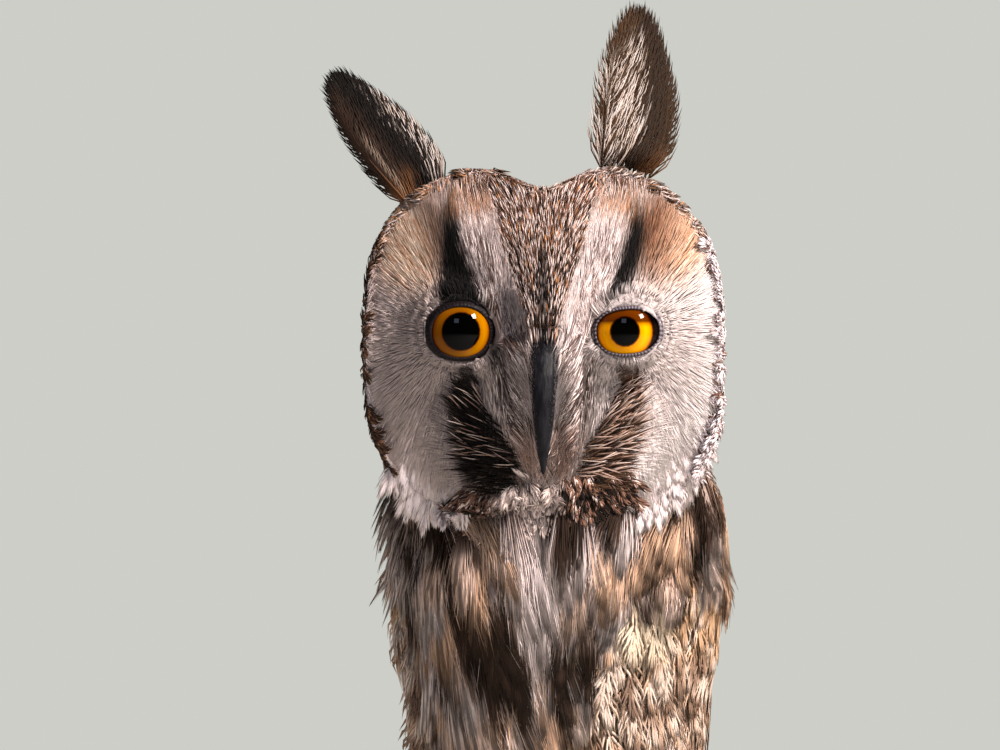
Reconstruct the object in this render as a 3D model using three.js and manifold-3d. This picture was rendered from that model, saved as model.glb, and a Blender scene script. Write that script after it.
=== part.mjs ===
// A long-eared owl, life size, perched upright on a cut branch over a plain display stand.
//
// Millimetres, +Z up. The origin is the middle of the stand's underside. The head looks along -Y.
// The body is turned to the owl's right under the head, so it is laid out in a frame of its own,
// also looking along -Y, and then turned and set under the head by toBodyPlace.

import * as THREE from "three";
import { mergeVertices } from "three/addons/utils/BufferGeometryUtils.js";
import Module from "manifold-3d";

const wasm = await Module();
wasm.setup();

const { degToRad, lerp, smoothstep } = THREE.MathUtils;
const vec = (x, y, z) => new THREE.Vector3(x, y, z);

// The gap that neighbouring pieces keep.
const GAP = 0.3;

// Pose and main heights.
const CROWN_Z = 375;
const BODY_TURN = degToRad(-30);
const BODY_SHIFT = vec(3, 0, 0);

// Display stand and branch. The branch lies along the body frame's X.
const BASE_RADIUS = 92;
const BASE_THICK = 12;
const BASE_BEVEL = 2.5;
const ROD_RADIUS = 3;
const ROD_SPREAD = 66;
const ROD_SUNK = 7;
const PERCH_RADIUS = 13;
const PERCH_LENGTH = 188;
const PERCH_TOP_Z = 130;
const PERCH_Y = -8;
const PERCH_Z = PERCH_TOP_Z - PERCH_RADIUS;
const STUB = {
  from: vec(64, PERCH_Y - 3, PERCH_Z + 2),
  to: vec(78, PERCH_Y - 17, PERCH_Z + 17),
  rootRadius: 6.2,
  endRadius: 4.4,
};

// Head, measured from its own centre. forward is along -Y.
const HEAD = {
  centre: vec(0, -8, CROWN_Z - 45),
  halfWidth: 45.3,
  halfHeight: 45.6,
  squareness: 2.75,
  crownNotch: 6.5,
  crownNotchWidth: 8.5,
  chinNotch: 7.5,
  chinNotchWidth: 12,
  domeForward: 36,
  domeWidth: 56,
  domeHeight: 75,
  occiput: 41,
};
const DISC = { x: 23, z: -3, halfWidth: 23, halfHeight: 40, hollow: 5.2 };
const RIDGE = { height: 5.4, halfWidth: 7.5, top: 36, bottom: -36 };
const BROW = { height: 2.4, halfWidth: 6.5, innerX: 7, innerZ: 4, outerX: 25, outerZ: 38 };
const RUFF = { height: 1.8, from: 0.86 };

// Eyes. Each opening is measured from the eye's centre: half width, half height, and how high it sits.
const EYE_RADIUS = 9.6;
const EYE_X = 20.3;
const EYE_Z = 3;
const LID_RADIUS = 8.4;
const LID_LEVEL = { forward: 31, outwardSlope: -0.16, inner: 9.5, outer: 16 };
const EYE_OPENINGS = {
  right: { halfWidth: 7.5, halfHeight: 6.9, raise: 0 },
  left: { halfWidth: 7.5, halfHeight: 5.7, raise: -0.4 },
};
const LID_THICK = 1.2;
const LID_SUNK = 1;

// Half width, half depth and centre of the body and of the tail below it, by height.
const BODY = [
  { z: 324, halfWidth: 22, halfDepth: 17, back: 0 },
  { z: 312, halfWidth: 34, halfDepth: 27, back: 2 },
  { z: 297, halfWidth: 43.5, halfDepth: 36, back: 2 },
  { z: 280, halfWidth: 44.5, halfDepth: 39, back: 1 },
  { z: 256, halfWidth: 35, halfDepth: 39.5, back: 0 },
  { z: 230, halfWidth: 29, halfDepth: 38.5, back: -0.5 },
  { z: 205, halfWidth: 28.8, halfDepth: 36.5, back: 1 },
  { z: 182, halfWidth: 29.5, halfDepth: 34, back: 4.5 },
  { z: 160, halfWidth: 27.5, halfDepth: 29, back: 9 },
  { z: 140, halfWidth: 24, halfDepth: 20, back: 18 },
  { z: 118, halfWidth: 24, halfDepth: 11.5, back: 28.5 },
  { z: 90, halfWidth: 26, halfDepth: 8.5, back: 37.5 },
  { z: 55, halfWidth: 28, halfDepth: 7.5, back: 48.5 },
  { z: 20, halfWidth: 27, halfDepth: 7, back: 58 },
];
const VENT_Z = 137;
const TORSO_LEVELS = [324, 312, 303, 294, 285, 274, 260, 244, 228, 212, 196, 182, 170, 159, 150];
const TORSO_SIDES = 28;

// Cuts through the neck and the shoulders: height on the middle line, and tilt towards the throat.
const NECK_CUT = { z: 291, tilt: 15 };
const SHOULDER_CUT = { z: 266, tilt: 4 };

// Points of the bill's middle line, forward and up from the head's centre.
const UPPER_BILL = [
  { forward: 34, up: 1.5 },
  { forward: 41, up: -3 },
  { forward: 45, up: -11 },
  { forward: 45.8, up: -21 },
  { forward: 43.4, up: -31.5 },
];
const LOWER_BILL = [
  { forward: 34, up: -19 },
  { forward: 39.5, up: -23 },
  { forward: 42.3, up: -28.5 },
];
const NOSTRIL = { radius: 1.1, x: 3.3, forward: 43, up: -8 };

// Root, tip and width of each tuft, across and up from the head's centre. back is along +Y.
const TUFTS = {
  right: { root: vec(-29, -12, 38), tip: vec(-50, -6, 67), halfWidth: 7.4, bulge: 0, sway: 1.2, facing: -18 },
  left: { root: vec(20, -12, 43), tip: vec(23, -8, 82), halfWidth: 9.4, bulge: -1.6, sway: -0.6, facing: 6 },
};
const TUFT_FEATHERS = 6;
const TUFT_LAYER = 0.68;
const TUFT_SUNK = 6;

// Feathers: how thick a vane is, and where its outline is measured along its length, closer together
// towards the tip.
const VANE_THICK = 0.6;
const STATIONS = {
  hand: [0, 0.12, 0.5, 0.84, 1],
  long: [0, 0.3, 0.62, 0.88, 1],
  short: [0, 0.45, 0.82, 1],
};

// Wings

// Front and back edge of the folded wing as angles from the flank towards the back, by height, and how
// thick its flesh is. The last rows are below the flesh, for the feathers alone.
const WING_EDGES = [
  { z: 276, front: -10, back: 60, thick: 1.4 },
  { z: 266, front: -32, back: 72, thick: 2.6 },
  { z: 250, front: -42, back: 80, thick: 3.8 },
  { z: 225, front: -40, back: 86, thick: 4.2 },
  { z: 195, front: -33, back: 87, thick: 4.2 },
  { z: 165, front: -18, back: 88, thick: 3.8 },
  { z: 140, front: 0, back: 88, thick: 3.2 },
  { z: 122, front: 20, back: 88, thick: 2.4 },
  { z: 20, front: 60, back: 88, thick: 1.6 },
];
const WING_FLESH = [275, 266, 251, 235, 218, 200, 182, 165, 152, 140];

// The flight feathers of the hand: where the roots lie across the wing, how long they are, how far they
// turn towards the back, from the outermost in, and how much each stands above the one outside it.
const PRIMARIES = { count: 5, rootZ: 134, across: [0.1, 0.66], length: [109, 70], turn: [40, 16],
  halfWidth: 7.6, sunk: 2.6, rise: -0.3, step: 0.75, blunt: 0.25, stations: STATIONS.hand };

// The other tiers, each one row of feathers laid side by side: the row's height at its roots and tips at
// the front and back, how many feathers and from where to where across the wing, how far they turn
// towards the back, how long the rounded tips are, and how high they stand. Only the long feathers of
// the arm stand free of the flesh.
const WING_TIERS = [
  // Secondaries
  { count: 8, rootZ: [176, 182], tipZ: [122, 108], across: [0.02, 0.99], turn: [14, 2],
    scallop: 9, lift: 4.2, rows: 3, free: true },
  // Greater, median, lesser and marginal coverts
  { count: 8, rootZ: [204, 200], tipZ: [176, 168], across: [0, 0.98], turn: [6, 2],
    scallop: 6, lift: 2.1, rows: 2 },
  { count: 7, rootZ: [226, 224], tipZ: [203, 200], across: [0, 0.94], turn: [4, 2],
    scallop: 6, lift: 1.9, rows: 2 },
  { count: 6, rootZ: [246, 244], tipZ: [226, 224], across: [0.01, 0.86], turn: [3, 2],
    scallop: 6, lift: 1.8, rows: 2 },
  { count: 5, rootZ: [265, 263], tipZ: [246, 244], across: [0.03, 0.84], turn: [2, 0],
    scallop: 6, lift: 1.6, rows: 2 },
  // Scapulars
  { count: 3, rootZ: [266, 262], tipZ: [212, 192], across: [0.74, 1], turn: [0, 0],
    scallop: 10, lift: 2.6, rows: 3 },
];
const SHINGLE = 0.9;
const SHINGLE_WALL = degToRad(0.5);
const TIER_SUNK = 1.2;
const TIER_DEPTH = 2;
const WING_INNER = 0.75;
const WING_LIMIT = { soft: degToRad(78), room: degToRad(10.5) };

// Tail

const TAIL = { feathers: 12, rootZ: 128, tipZ: 23, halfWidth: 10.5, spread: 19, layer: 0.56, thick: 0.5,
  outerShort: 9 };

// The tail's fleshy root: its share of the body's size at each height.
const TAIL_ROOT = [
  { z: 150, share: 0.7 },
  { z: 140, share: 0.84 },
  { z: 128, share: 0.86 },
  { z: 116, share: 0.84 },
  { z: 106, share: 0.66 },
];
const TAIL_ROOT_SIDES = 14;

// Legs and feet

const FOOT_X = 17;
const LEG_TOP = vec(15, 6, 174);
const LEG_KNEE = vec(17.5, -5, 154);
const LEG_ANKLE = vec(FOOT_X, PERCH_Y, 137);
const LEG_RADIUS = { top: 16, ankle: 7.6 };
const ANKLE_CUT_Z = 143;
const FOOT_PAD = { halfWidth: 9.2, halfLength: 10.5, halfHeight: 6.6, rise: 3.4 };
const TOE_RADIUS = 3.7;
const TOE_END = degToRad(74);
const CLAW_END = degToRad(124);
const TOES = {
  inner: { way: 1, x: -4.6, splay: -3.5, reach: 1 },
  middle: { way: 1, x: 4.4, splay: 3, reach: 1.06 },
  outer: { way: -1, x: 5, splay: 4, reach: 0.95 },
  hind: { way: -1, x: -4.6, splay: -2, reach: 0.86 },
};

// Turns a geometry of the body's own frame to where the body stands.
function toBodyPlace(geometry) {
  return geometry.rotateZ(BODY_TURN).translate(BODY_SHIFT.x, BODY_SHIFT.y, BODY_SHIFT.z);
}

// Solids from geometry and back

// The same surface with shared corners and its faces turned outwards.
function outward(geometry) {
  const bare = new THREE.BufferGeometry();
  bare.setAttribute("position", geometry.getAttribute("position").clone());
  if (geometry.index) bare.setIndex(geometry.index.clone());
  const merged = mergeVertices(bare, 1e-3);
  const [corners, index] = [merged.attributes.position, merged.index];
  const corner = (i) => vec().fromBufferAttribute(corners, index.getX(i));
  let volume = 0;
  for (let i = 0; i < index.count; i += 3) volume += corner(i).dot(corner(i + 1).cross(corner(i + 2)));
  if (volume > 0) return merged;
  for (let i = 0; i < index.count; i += 3) {
    const [b, c] = [index.getX(i + 1), index.getX(i + 2)];
    index.setX(i + 1, c).setX(i + 2, b);
  }
  return merged;
}

function toSolid(geometry) {
  const made = outward(geometry);
  const triVerts = new Uint32Array(made.index.array);
  return new wasm.Manifold(
    new wasm.Mesh({ numProp: 3, vertProperties: made.attributes.position.array, triVerts }),
  );
}

const joined = (solids) => solids.reduce((whole, one) => whole.add(one));

const without = (solid, ...cutters) => cutters.reduce((rest, cutter) => rest.subtract(cutter), solid);

// The piece of most volume, which drops any scrap that a cut leaves.
function largest(solid) {
  const pieces = solid.decompose();
  return pieces.reduce((best, one) => (one.volume() > best.volume() ? one : best));
}

function toMesh(name, solid, material) {
  const made = solid.getMesh();
  const geometry = new THREE.BufferGeometry();
  const corners = new Float32Array(made.numVert * 3);
  for (let i = 0; i < made.numVert; i++) {
    corners.set(made.vertProperties.subarray(i * made.numProp, i * made.numProp + 3), i * 3);
  }
  geometry.setAttribute("position", new THREE.BufferAttribute(corners, 3));
  geometry.setIndex(new THREE.BufferAttribute(made.triVerts, 1));
  geometry.computeVertexNormals();
  const mesh = new THREE.Mesh(geometry, material);
  mesh.name = name;
  return mesh;
}

// Shape helpers

function geometryFrom(points, faces) {
  const geometry = new THREE.BufferGeometry();
  const corners = points.flatMap((p) => [p.x, p.y, p.z]);
  geometry.setAttribute("position", new THREE.Float32BufferAttribute(corners, 3));
  geometry.setIndex(faces.flat());
  return geometry;
}

// A closed solid through rings that are all listed the same way round. An end ring of one point is a pole.
function loft(rings) {
  const points = rings.flat();
  const starts = rings.map((_, i) => rings.slice(0, i).reduce((sum, r) => sum + r.length, 0));
  const faces = [];
  for (let i = 0; i + 1 < rings.length; i++) {
    const [a, b] = [starts[i], starts[i + 1]];
    const [na, nb] = [rings[i].length, rings[i + 1].length];
    const n = Math.max(na, nb);
    for (let j = 0; j < n; j++) {
      const k = (j + 1) % n;
      if (na > 1) faces.push([a + j, a + k, b + (nb > 1 ? k : 0)]);
      if (nb > 1) faces.push([a + (na > 1 ? j : 0), b + k, b + j]);
    }
  }
  const cap = (start, count, flip) => {
    for (let j = 1; j + 1 < count; j++) {
      faces.push(flip ? [start, start + j + 1, start + j] : [start, start + j, start + j + 1]);
    }
  };
  cap(starts[0], rings[0].length, true);
  cap(starts.at(-1), rings.at(-1).length, false);
  return geometryFrom(points, faces);
}

// The same closed shape with its surface moved outwards.
function grown(geometry, by) {
  const made = outward(geometry);
  made.computeVertexNormals();
  const [at, out] = [made.attributes.position, made.attributes.normal];
  for (let i = 0; i < at.count; i++) {
    at.setXYZ(i, at.getX(i) + by * out.getX(i), at.getY(i) + by * out.getY(i), at.getZ(i) + by * out.getZ(i));
  }
  return made;
}

// A closed sheet between two grids of points, split into triangles alike on both faces.
function sheet(upper, lower) {
  const rows = upper.length;
  const columns = upper[0].length;
  const points = [...upper.flat(), ...lower.flat()];
  const top = (i, j) => i * columns + j;
  const under = (i, j) => rows * columns + top(i, j);
  const faces = [];
  for (let i = 0; i + 1 < rows; i++) {
    for (let j = 0; j + 1 < columns; j++) {
      for (const corner of [[i + 1, j], [i, j + 1]]) {
        const turn = corner[0] > i ? [corner, [i + 1, j + 1]] : [[i + 1, j + 1], corner];
        faces.push([top(i, j), ...turn.map((at) => top(...at))]);
        faces.push([under(i, j), ...turn.map((at) => under(...at)).reverse()]);
      }
    }
  }
  const wall = (a, b) => {
    faces.push([top(...a), under(...a), under(...b)], [top(...a), under(...b), top(...b)]);
  };
  for (let i = 0; i + 1 < rows; i++) {
    wall([i, 0], [i + 1, 0]);
    wall([i + 1, columns - 1], [i, columns - 1]);
  }
  for (let j = 0; j + 1 < columns; j++) {
    wall([0, j + 1], [0, j]);
    wall([rows - 1, j], [rows - 1, j + 1]);
  }
  return geometryFrom(points, faces);
}

// A tapered tube along a curve. radiusAt gives the half width and half depth at each share of its length.
function tube(curve, radiusAt, steps, sides, up) {
  const rings = [];
  for (let i = 0; i <= steps; i++) {
    const s = i / steps;
    const along = curve.getTangent(s);
    const across = vec().crossVectors(along, up).normalize();
    const over = vec().crossVectors(across, along).normalize();
    const middle = curve.getPoint(s);
    const [w, d] = radiusAt(s);
    rings.push(
      Array.from({ length: sides }, (_, j) => {
        const a = (j / sides) * 2 * Math.PI;
        return middle.clone().addScaledVector(across, w * Math.cos(a)).addScaledVector(over, d * Math.sin(a));
      }),
    );
  }
  return loft(rings);
}

// Half the width of a feather at each share of its length, for a half width of 1.
function vaneOutline(s, blunt) {
  const root = 0.42 + 0.58 * smoothstep(s, 0, 0.35);
  const tip = Math.sqrt(Math.max(0, 1 - Math.pow(Math.max(0, s - 0.45) / 0.56, 2 + 2 * blunt)));
  return root * Math.max(0.18, tip);
}

// One feather as a thin sheet. pointAt gives the place at a share of its length, a distance to the side of
// its middle line and a distance above its middle face.
function vane({ pointAt, halfWidth, thick, stations, columns = 2, blunt = 0.5 }) {
  const face = (height) =>
    stations.map((s) =>
      Array.from({ length: columns + 1 }, (_, j) => {
        const v = (2 * j) / columns - 1;
        return pointAt(s, v * halfWidth * vaneOutline(s, blunt), height, v);
      }),
    );
  return sheet(face(thick / 2), face(-thick / 2));
}

// Body and head surfaces

// The body's sizes at a height, blended between the rows of BODY.
function bodyAt(z) {
  const last = BODY.length - 1;
  let i = BODY.findIndex((row) => row.z <= z);
  if (i < 0) i = last;
  i = Math.max(1, i);
  const blend = (key) => {
    const at = (k) => BODY[Math.min(last, Math.max(0, k))];
    const [p0, p1, p2, p3] = [at(i - 2), at(i - 1), at(i), at(i + 1)];
    const t = (p1.z - z) / (p1.z - p2.z);
    const m1 = ((p2[key] - p0[key]) / (p0.z - p2.z || 1)) * (p1.z - p2.z);
    const m2 = ((p3[key] - p1[key]) / (p1.z - p3.z || 1)) * (p1.z - p2.z);
    const [t2, t3] = [t * t, t * t * t];
    return (
      (2 * t3 - 3 * t2 + 1) * p1[key] + (t3 - 2 * t2 + t) * m1 + (3 * t2 - 2 * t3) * p2[key] + (t3 - t2) * m2
    );
  };
  return { halfWidth: blend("halfWidth"), halfDepth: blend("halfDepth"), back: blend("back") };
}

// A point on the body at a height and an angle from the owl's left side towards its back, raised outwards.
function onBody(z, angle, raise = 0) {
  const { halfWidth, halfDepth, back } = bodyAt(z);
  return vec(
    (halfWidth + raise) * Math.cos(angle),
    back + (halfDepth + raise) * Math.sin(angle),
    z,
  );
}

function bodyRing(z, sides, grow = 0) {
  return Array.from({ length: sides }, (_, j) => onBody(z, (j / sides) * 2 * Math.PI, grow));
}

// The whole body from inside the head to the vent.
function torsoGeometry(grow = 0) {
  const sides = TORSO_SIDES;
  const rings = TORSO_LEVELS.map((z) => bodyRing(z, sides, grow));
  const vent = bodyAt(VENT_Z);
  const narrowed = (share, z) =>
    Array.from({ length: sides }, (_, j) => {
      const a = (j / sides) * 2 * Math.PI;
      return vec(
        (vent.halfWidth * share + grow) * Math.cos(a),
        vent.back + (vent.halfDepth * share + grow) * Math.sin(a),
        z - grow,
      );
    });
  rings.push(narrowed(0.92, VENT_Z + 6), narrowed(0.66, VENT_Z));
  return loft(rings);
}

// The face's outline as a share of the way out from the middle, at an angle from the owl's left upwards.
function faceEdge(angle) {
  const [c, s] = [Math.cos(angle), Math.sin(angle)];
  const n = HEAD.squareness;
  const reach = Math.pow(
    Math.pow(Math.abs(c) / HEAD.halfWidth, n) + Math.pow(Math.abs(s) / HEAD.halfHeight, n),
    -1 / n,
  );
  const x = reach * c;
  let z = reach * s;
  if (s > 0) z -= HEAD.crownNotch * Math.exp(-Math.pow(x / HEAD.crownNotchWidth, 2));
  else z += HEAD.chinNotch * Math.exp(-Math.pow(x / HEAD.chinNotchWidth, 2));
  return { x, z };
}

// How far a point lies from a straight line between two points of the face.
function distanceToLine(x, z, ax, az, bx, bz) {
  const [dx, dz] = [bx - ax, bz - az];
  const t = Math.min(1, Math.max(0, ((x - ax) * dx + (z - az) * dz) / (dx * dx + dz * dz)));
  return Math.hypot(x - ax - t * dx, z - az - t * dz);
}

// How far the face stands forward of the head's centre, with its hollow discs, ridge, brows and ruff, and
// the level ground round each eye that its lids lie on.
function faceForward(x, z, edgeShare) {
  const side = Math.abs(x);
  const round = 1 - Math.pow(x / HEAD.domeWidth, 2) - Math.pow(z / HEAD.domeHeight, 2);
  let forward = HEAD.domeForward * Math.sqrt(Math.max(0.1, round));
  const fromDisc = Math.hypot((side - DISC.x) / DISC.halfWidth, (z - DISC.z) / DISC.halfHeight);
  if (fromDisc < 1) forward -= DISC.hollow * Math.pow(1 - fromDisc * fromDisc, 1.5);
  const onRidge = smoothstep(RIDGE.top - z, 0, 12) * smoothstep(z - RIDGE.bottom, 0, 12);
  forward += RIDGE.height * Math.exp(-Math.pow(x / RIDGE.halfWidth, 2)) * onRidge;
  const fromBrow = distanceToLine(side, z, BROW.innerX, BROW.innerZ, BROW.outerX, BROW.outerZ);
  forward += BROW.height * Math.exp(-Math.pow(fromBrow / BROW.halfWidth, 2));
  forward += RUFF.height * smoothstep(edgeShare, RUFF.from, 1);
  const fromEye = Math.hypot(side - EYE_X, z - EYE_Z);
  const lidLevel = LID_LEVEL.forward + LID_LEVEL.outwardSlope * (side - EYE_X);
  return lerp(lidLevel, forward, smoothstep(fromEye, LID_LEVEL.inner, LID_LEVEL.outer));
}

function headGeometry(sides, faceRings, backRings) {
  const at = (share, angle) => {
    const edge = faceEdge(angle);
    const [x, z] = [edge.x * share, edge.z * share];
    return vec(x, -faceForward(x, z, share), z).add(HEAD.centre);
  };
  const angles = Array.from({ length: sides }, (_, j) => (j / sides) * 2 * Math.PI);
  const rings = [[at(0, 0)]];
  for (let i = 1; i <= faceRings; i++) {
    rings.push(angles.map((angle) => at(i / faceRings, angle)));
  }
  for (let i = 1; i < backRings; i++) {
    const bend = (i / backRings) * (Math.PI / 2);
    const shrink = Math.pow(Math.cos(bend), 0.85);
    rings.push(
      angles.map((angle) => {
        const rim = at(1, angle).sub(HEAD.centre);
        const notchless = rim.z * shrink - 3 * Math.sin(bend);
        return vec(rim.x * shrink, lerp(rim.y, HEAD.occiput, Math.sin(bend)), notchless).add(HEAD.centre);
      }),
    );
  }
  rings.push([vec(0, HEAD.occiput, -3).add(HEAD.centre)]);
  return loft(rings);
}

// Eyes and lids

function eyeCentre(sign) {
  const inside = Math.sqrt(EYE_RADIUS ** 2 - LID_RADIUS ** 2);
  return vec(sign * EYE_X, inside - LID_LEVEL.forward, EYE_Z).add(HEAD.centre);
}

function eyeball(sign, grow = 0) {
  const ball = new THREE.SphereGeometry(EYE_RADIUS + grow, 14, 8);
  const centre = eyeCentre(sign);
  return toSolid(ball.rotateX(Math.PI / 2).translate(centre.x, centre.y, centre.z));
}

// The lid is a band over the eyeball, from the opening out to a rim that is sunk in the face.
function lid(sign, opening) {
  const centre = eyeCentre(sign);
  const round = 14;
  const points = [];
  const onBall = (x, z, radius) => vec(x, -Math.sqrt(radius ** 2 - x * x - z * z), z).add(centre);
  const [under, over] = [EYE_RADIUS + GAP, EYE_RADIUS + GAP + LID_THICK];
  for (let i = 0; i < round; i++) {
    const [c, s] = [Math.cos((i / round) * 2 * Math.PI), Math.sin((i / round) * 2 * Math.PI)];
    const [x, z] = [opening.halfWidth * c, opening.halfHeight * s + opening.raise];
    const rim = LID_RADIUS + LID_SUNK;
    points.push(onBall(x, z, under), onBall(x, z, over));
    points.push(onBall(rim * c, rim * s, over), onBall(rim * c, rim * s, under));
  }
  const at = (i, j) => (i % round) * 4 + (j % 4);
  const faces = [];
  for (let i = 0; i < round; i++) {
    for (let j = 0; j < 4; j++) {
      faces.push([at(i, j), at(i + 1, j), at(i + 1, j + 1)], [at(i, j), at(i + 1, j + 1), at(i, j + 1)]);
    }
  }
  return toSolid(geometryFrom(points, faces));
}

// Bill

const alongBill = (line) =>
  new THREE.CatmullRomCurve3(line.map((p) => vec(0, -p.forward, p.up).add(HEAD.centre)));

function upperBill(grow = 0) {
  const size = (s) => {
    const taper = 1 - 0.88 * Math.pow(s, 1.9);
    return [3.8 * taper + grow, 4.6 * taper + grow];
  };
  return toSolid(tube(alongBill(UPPER_BILL), size, 7, 10, vec(1, 0, 0)));
}

function lowerBill(grow = 0) {
  const size = (s) => [3.4 * (1 - 0.7 * s * s) + grow, 2.6 * (1 - 0.62 * s * s) + grow];
  return toSolid(tube(alongBill(LOWER_BILL), size, 4, 8, vec(1, 0, 0)));
}

function nostrils() {
  return joined(
    [-1, 1].map((sign) => {
      const hole = new THREE.SphereGeometry(NOSTRIL.radius, 6, 4);
      const at = vec(sign * NOSTRIL.x, -NOSTRIL.forward, NOSTRIL.up).add(HEAD.centre);
      return toSolid(hole.translate(at.x, at.y, at.z));
    }),
  );
}

// Ear tufts

// The frame of a tuft: its middle line, its broad side and the way it faces.
function tuftFrame({ root, tip, facing }) {
  const along = tip.clone().sub(root).normalize();
  const front = vec(Math.sin(degToRad(facing)), -Math.cos(degToRad(facing)), 0);
  const side = vec().crossVectors(front, along).normalize();
  const up = vec().crossVectors(along, side).normalize();
  return { along, side, up };
}

// Feathers that overlap from one side to the other, shorter at the sides, on a narrow root.
function tuftFeathers(tuft) {
  const { along, side, up } = tuftFrame(tuft);
  const length = tuft.tip.distanceTo(tuft.root);
  return Array.from({ length: TUFT_FEATHERS }, (_, k) => {
    const across = (2 * k) / (TUFT_FEATHERS - 1) - 1;
    const reach = length * (1 - 0.34 * Math.pow(Math.abs(across - 0.1), 1.6));
    const spread = across * tuft.halfWidth * 0.6;
    const layer = TUFT_LAYER * (k - (TUFT_FEATHERS - 1) / 2);
    const pointAt = (s, aside, height) => {
      const out = spread * (0.5 + 0.75 * Math.sin(Math.PI * Math.min(1, 0.22 + 0.62 * s)));
      const sway = tuft.bulge * Math.sin(Math.PI * s) + tuft.sway * s * s;
      return tuft.root
        .clone()
        .addScaledVector(along, -3 + s * (reach + 3))
        .addScaledVector(side, out + sway + aside)
        .addScaledVector(up, layer + 1.5 * s * s + height)
        .add(HEAD.centre);
    };
    const halfWidth = tuft.halfWidth * 0.46;
    return toSolid(vane({ pointAt, halfWidth, thick: VANE_THICK, stations: STATIONS.long, blunt: 0.3 }));
  });
}

// The short fleshy root that the feathers of a tuft share. It starts well inside the head.
function tuftRoot(tuft) {
  const { along, up } = tuftFrame(tuft);
  const from = tuft.root.clone().addScaledVector(along, -TUFT_SUNK).add(HEAD.centre);
  const to = tuft.root.clone().addScaledVector(along, 11).add(HEAD.centre);
  const size = (s) => [tuft.halfWidth * (0.82 - 0.12 * s), 5.2 * (1 - 0.45 * s)];
  return toSolid(tube(new THREE.LineCurve3(from, to), size, 2, 10, up));
}

// Cuts that part the head, neck and torso

function levelCut({ z, tilt }) {
  const slab = new THREE.BoxGeometry(200, 200, GAP);
  return toSolid(slab.rotateX(degToRad(tilt)).translate(0, 0, z));
}

// Stand and perch

function standBase() {
  const edge = [
    [0, 0],
    [BASE_RADIUS, 0],
    [BASE_RADIUS, BASE_THICK - BASE_BEVEL],
    [BASE_RADIUS - BASE_BEVEL, BASE_THICK],
    [0, BASE_THICK],
  ];
  const turned = new THREE.LatheGeometry(edge.map(([r, z]) => new THREE.Vector2(r, z)), 40);
  return toSolid(turned.rotateX(Math.PI / 2));
}

function rod(sign, grow = 0) {
  const from = BASE_THICK - ROD_SUNK;
  const to = PERCH_Z - PERCH_RADIUS + ROD_SUNK;
  const bar = new THREE.CylinderGeometry(ROD_RADIUS + grow, ROD_RADIUS + grow, to - from + 2 * grow, 12);
  bar.rotateX(Math.PI / 2).translate(sign * ROD_SPREAD, PERCH_Y, (from + to) / 2);
  return toSolid(toBodyPlace(bar));
}

// The branch keeps one radius where the feet hold it, and swells a little towards its sawn ends.
function perchGeometry(grow = 0, plain = false) {
  const sides = 16;
  const steps = 10;
  const rings = [];
  for (let i = 0; i <= steps; i++) {
    const x = lerp(-PERCH_LENGTH / 2, PERCH_LENGTH / 2, i / steps);
    const away = smoothstep(Math.abs(x), 36, 62);
    rings.push(
      Array.from({ length: sides }, (_, j) => {
        const a = (j / sides) * 2 * Math.PI;
        const knot = 0.5 * Math.sin(3 * a + x / 17) + 0.4 * Math.sin(2 * a - x / 9);
        const swell = plain ? 0 : away * (knot + 0.6 * (x > 0 ? 1 : -0.5));
        const r = PERCH_RADIUS + grow + swell;
        return vec(x, PERCH_Y + r * Math.cos(a), PERCH_Z + r * Math.sin(a));
      }),
    );
  }
  return loft(rings);
}

// A stub where a side shoot was sawn off.
function perchStub() {
  const line = new THREE.LineCurve3(STUB.from, STUB.to);
  const size = (s) => Array(2).fill(lerp(STUB.rootRadius, STUB.endRadius, s));
  return toSolid(toBodyPlace(tube(line, size, 1, 10, vec(0, 1, 0))));
}

// Legs and feet

// A point beside the branch at an angle from its top, towards the front for way 1.
function roundPerch(x, angle, way, away) {
  const r = PERCH_RADIUS + away;
  return vec(x, PERCH_Y - way * r * Math.sin(angle), PERCH_Z + r * Math.cos(angle));
}

function arcRoundPerch(sign, toe, from, to, awayAt) {
  const points = Array.from({ length: 7 }, (_, i) => {
    const s = i / 6;
    const angle = lerp(from, to, s);
    const x = sign * (FOOT_X + toe.x + toe.splay * Math.min(1.3, angle / TOE_END));
    return roundPerch(x, angle, toe.way, awayAt(s));
  });
  return new THREE.CatmullRomCurve3(points);
}

function legGeometry(sign) {
  const flip = (p) => vec(sign * p.x, p.y, p.z);
  const line = new THREE.CatmullRomCurve3([LEG_TOP, LEG_KNEE, LEG_ANKLE].map(flip));
  const size = (s) => {
    const r = lerp(LEG_RADIUS.top, LEG_RADIUS.ankle, smoothstep(s, 0, 0.95));
    return [r * 0.92, r];
  };
  return tube(line, size, 5, 12, vec(0, 1, 0));
}

function toe(sign, place) {
  const end = TOE_END * place.reach;
  const radius = (s) => TOE_RADIUS * (1 - 0.24 * s);
  const line = arcRoundPerch(sign, place, degToRad(4), end, (s) => radius(s) + GAP);
  const size = (s) => [radius(s), radius(s)];
  return toSolid(toBodyPlace(tube(line, size, 4, 8, vec(1, 0, 0))));
}

function footPad(sign) {
  const pad = new THREE.SphereGeometry(1, 10, 5);
  pad.scale(FOOT_PAD.halfWidth, FOOT_PAD.halfLength, FOOT_PAD.halfHeight);
  pad.translate(sign * FOOT_X, PERCH_Y, PERCH_TOP_Z + FOOT_PAD.rise);
  return toSolid(toBodyPlace(pad));
}

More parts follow.
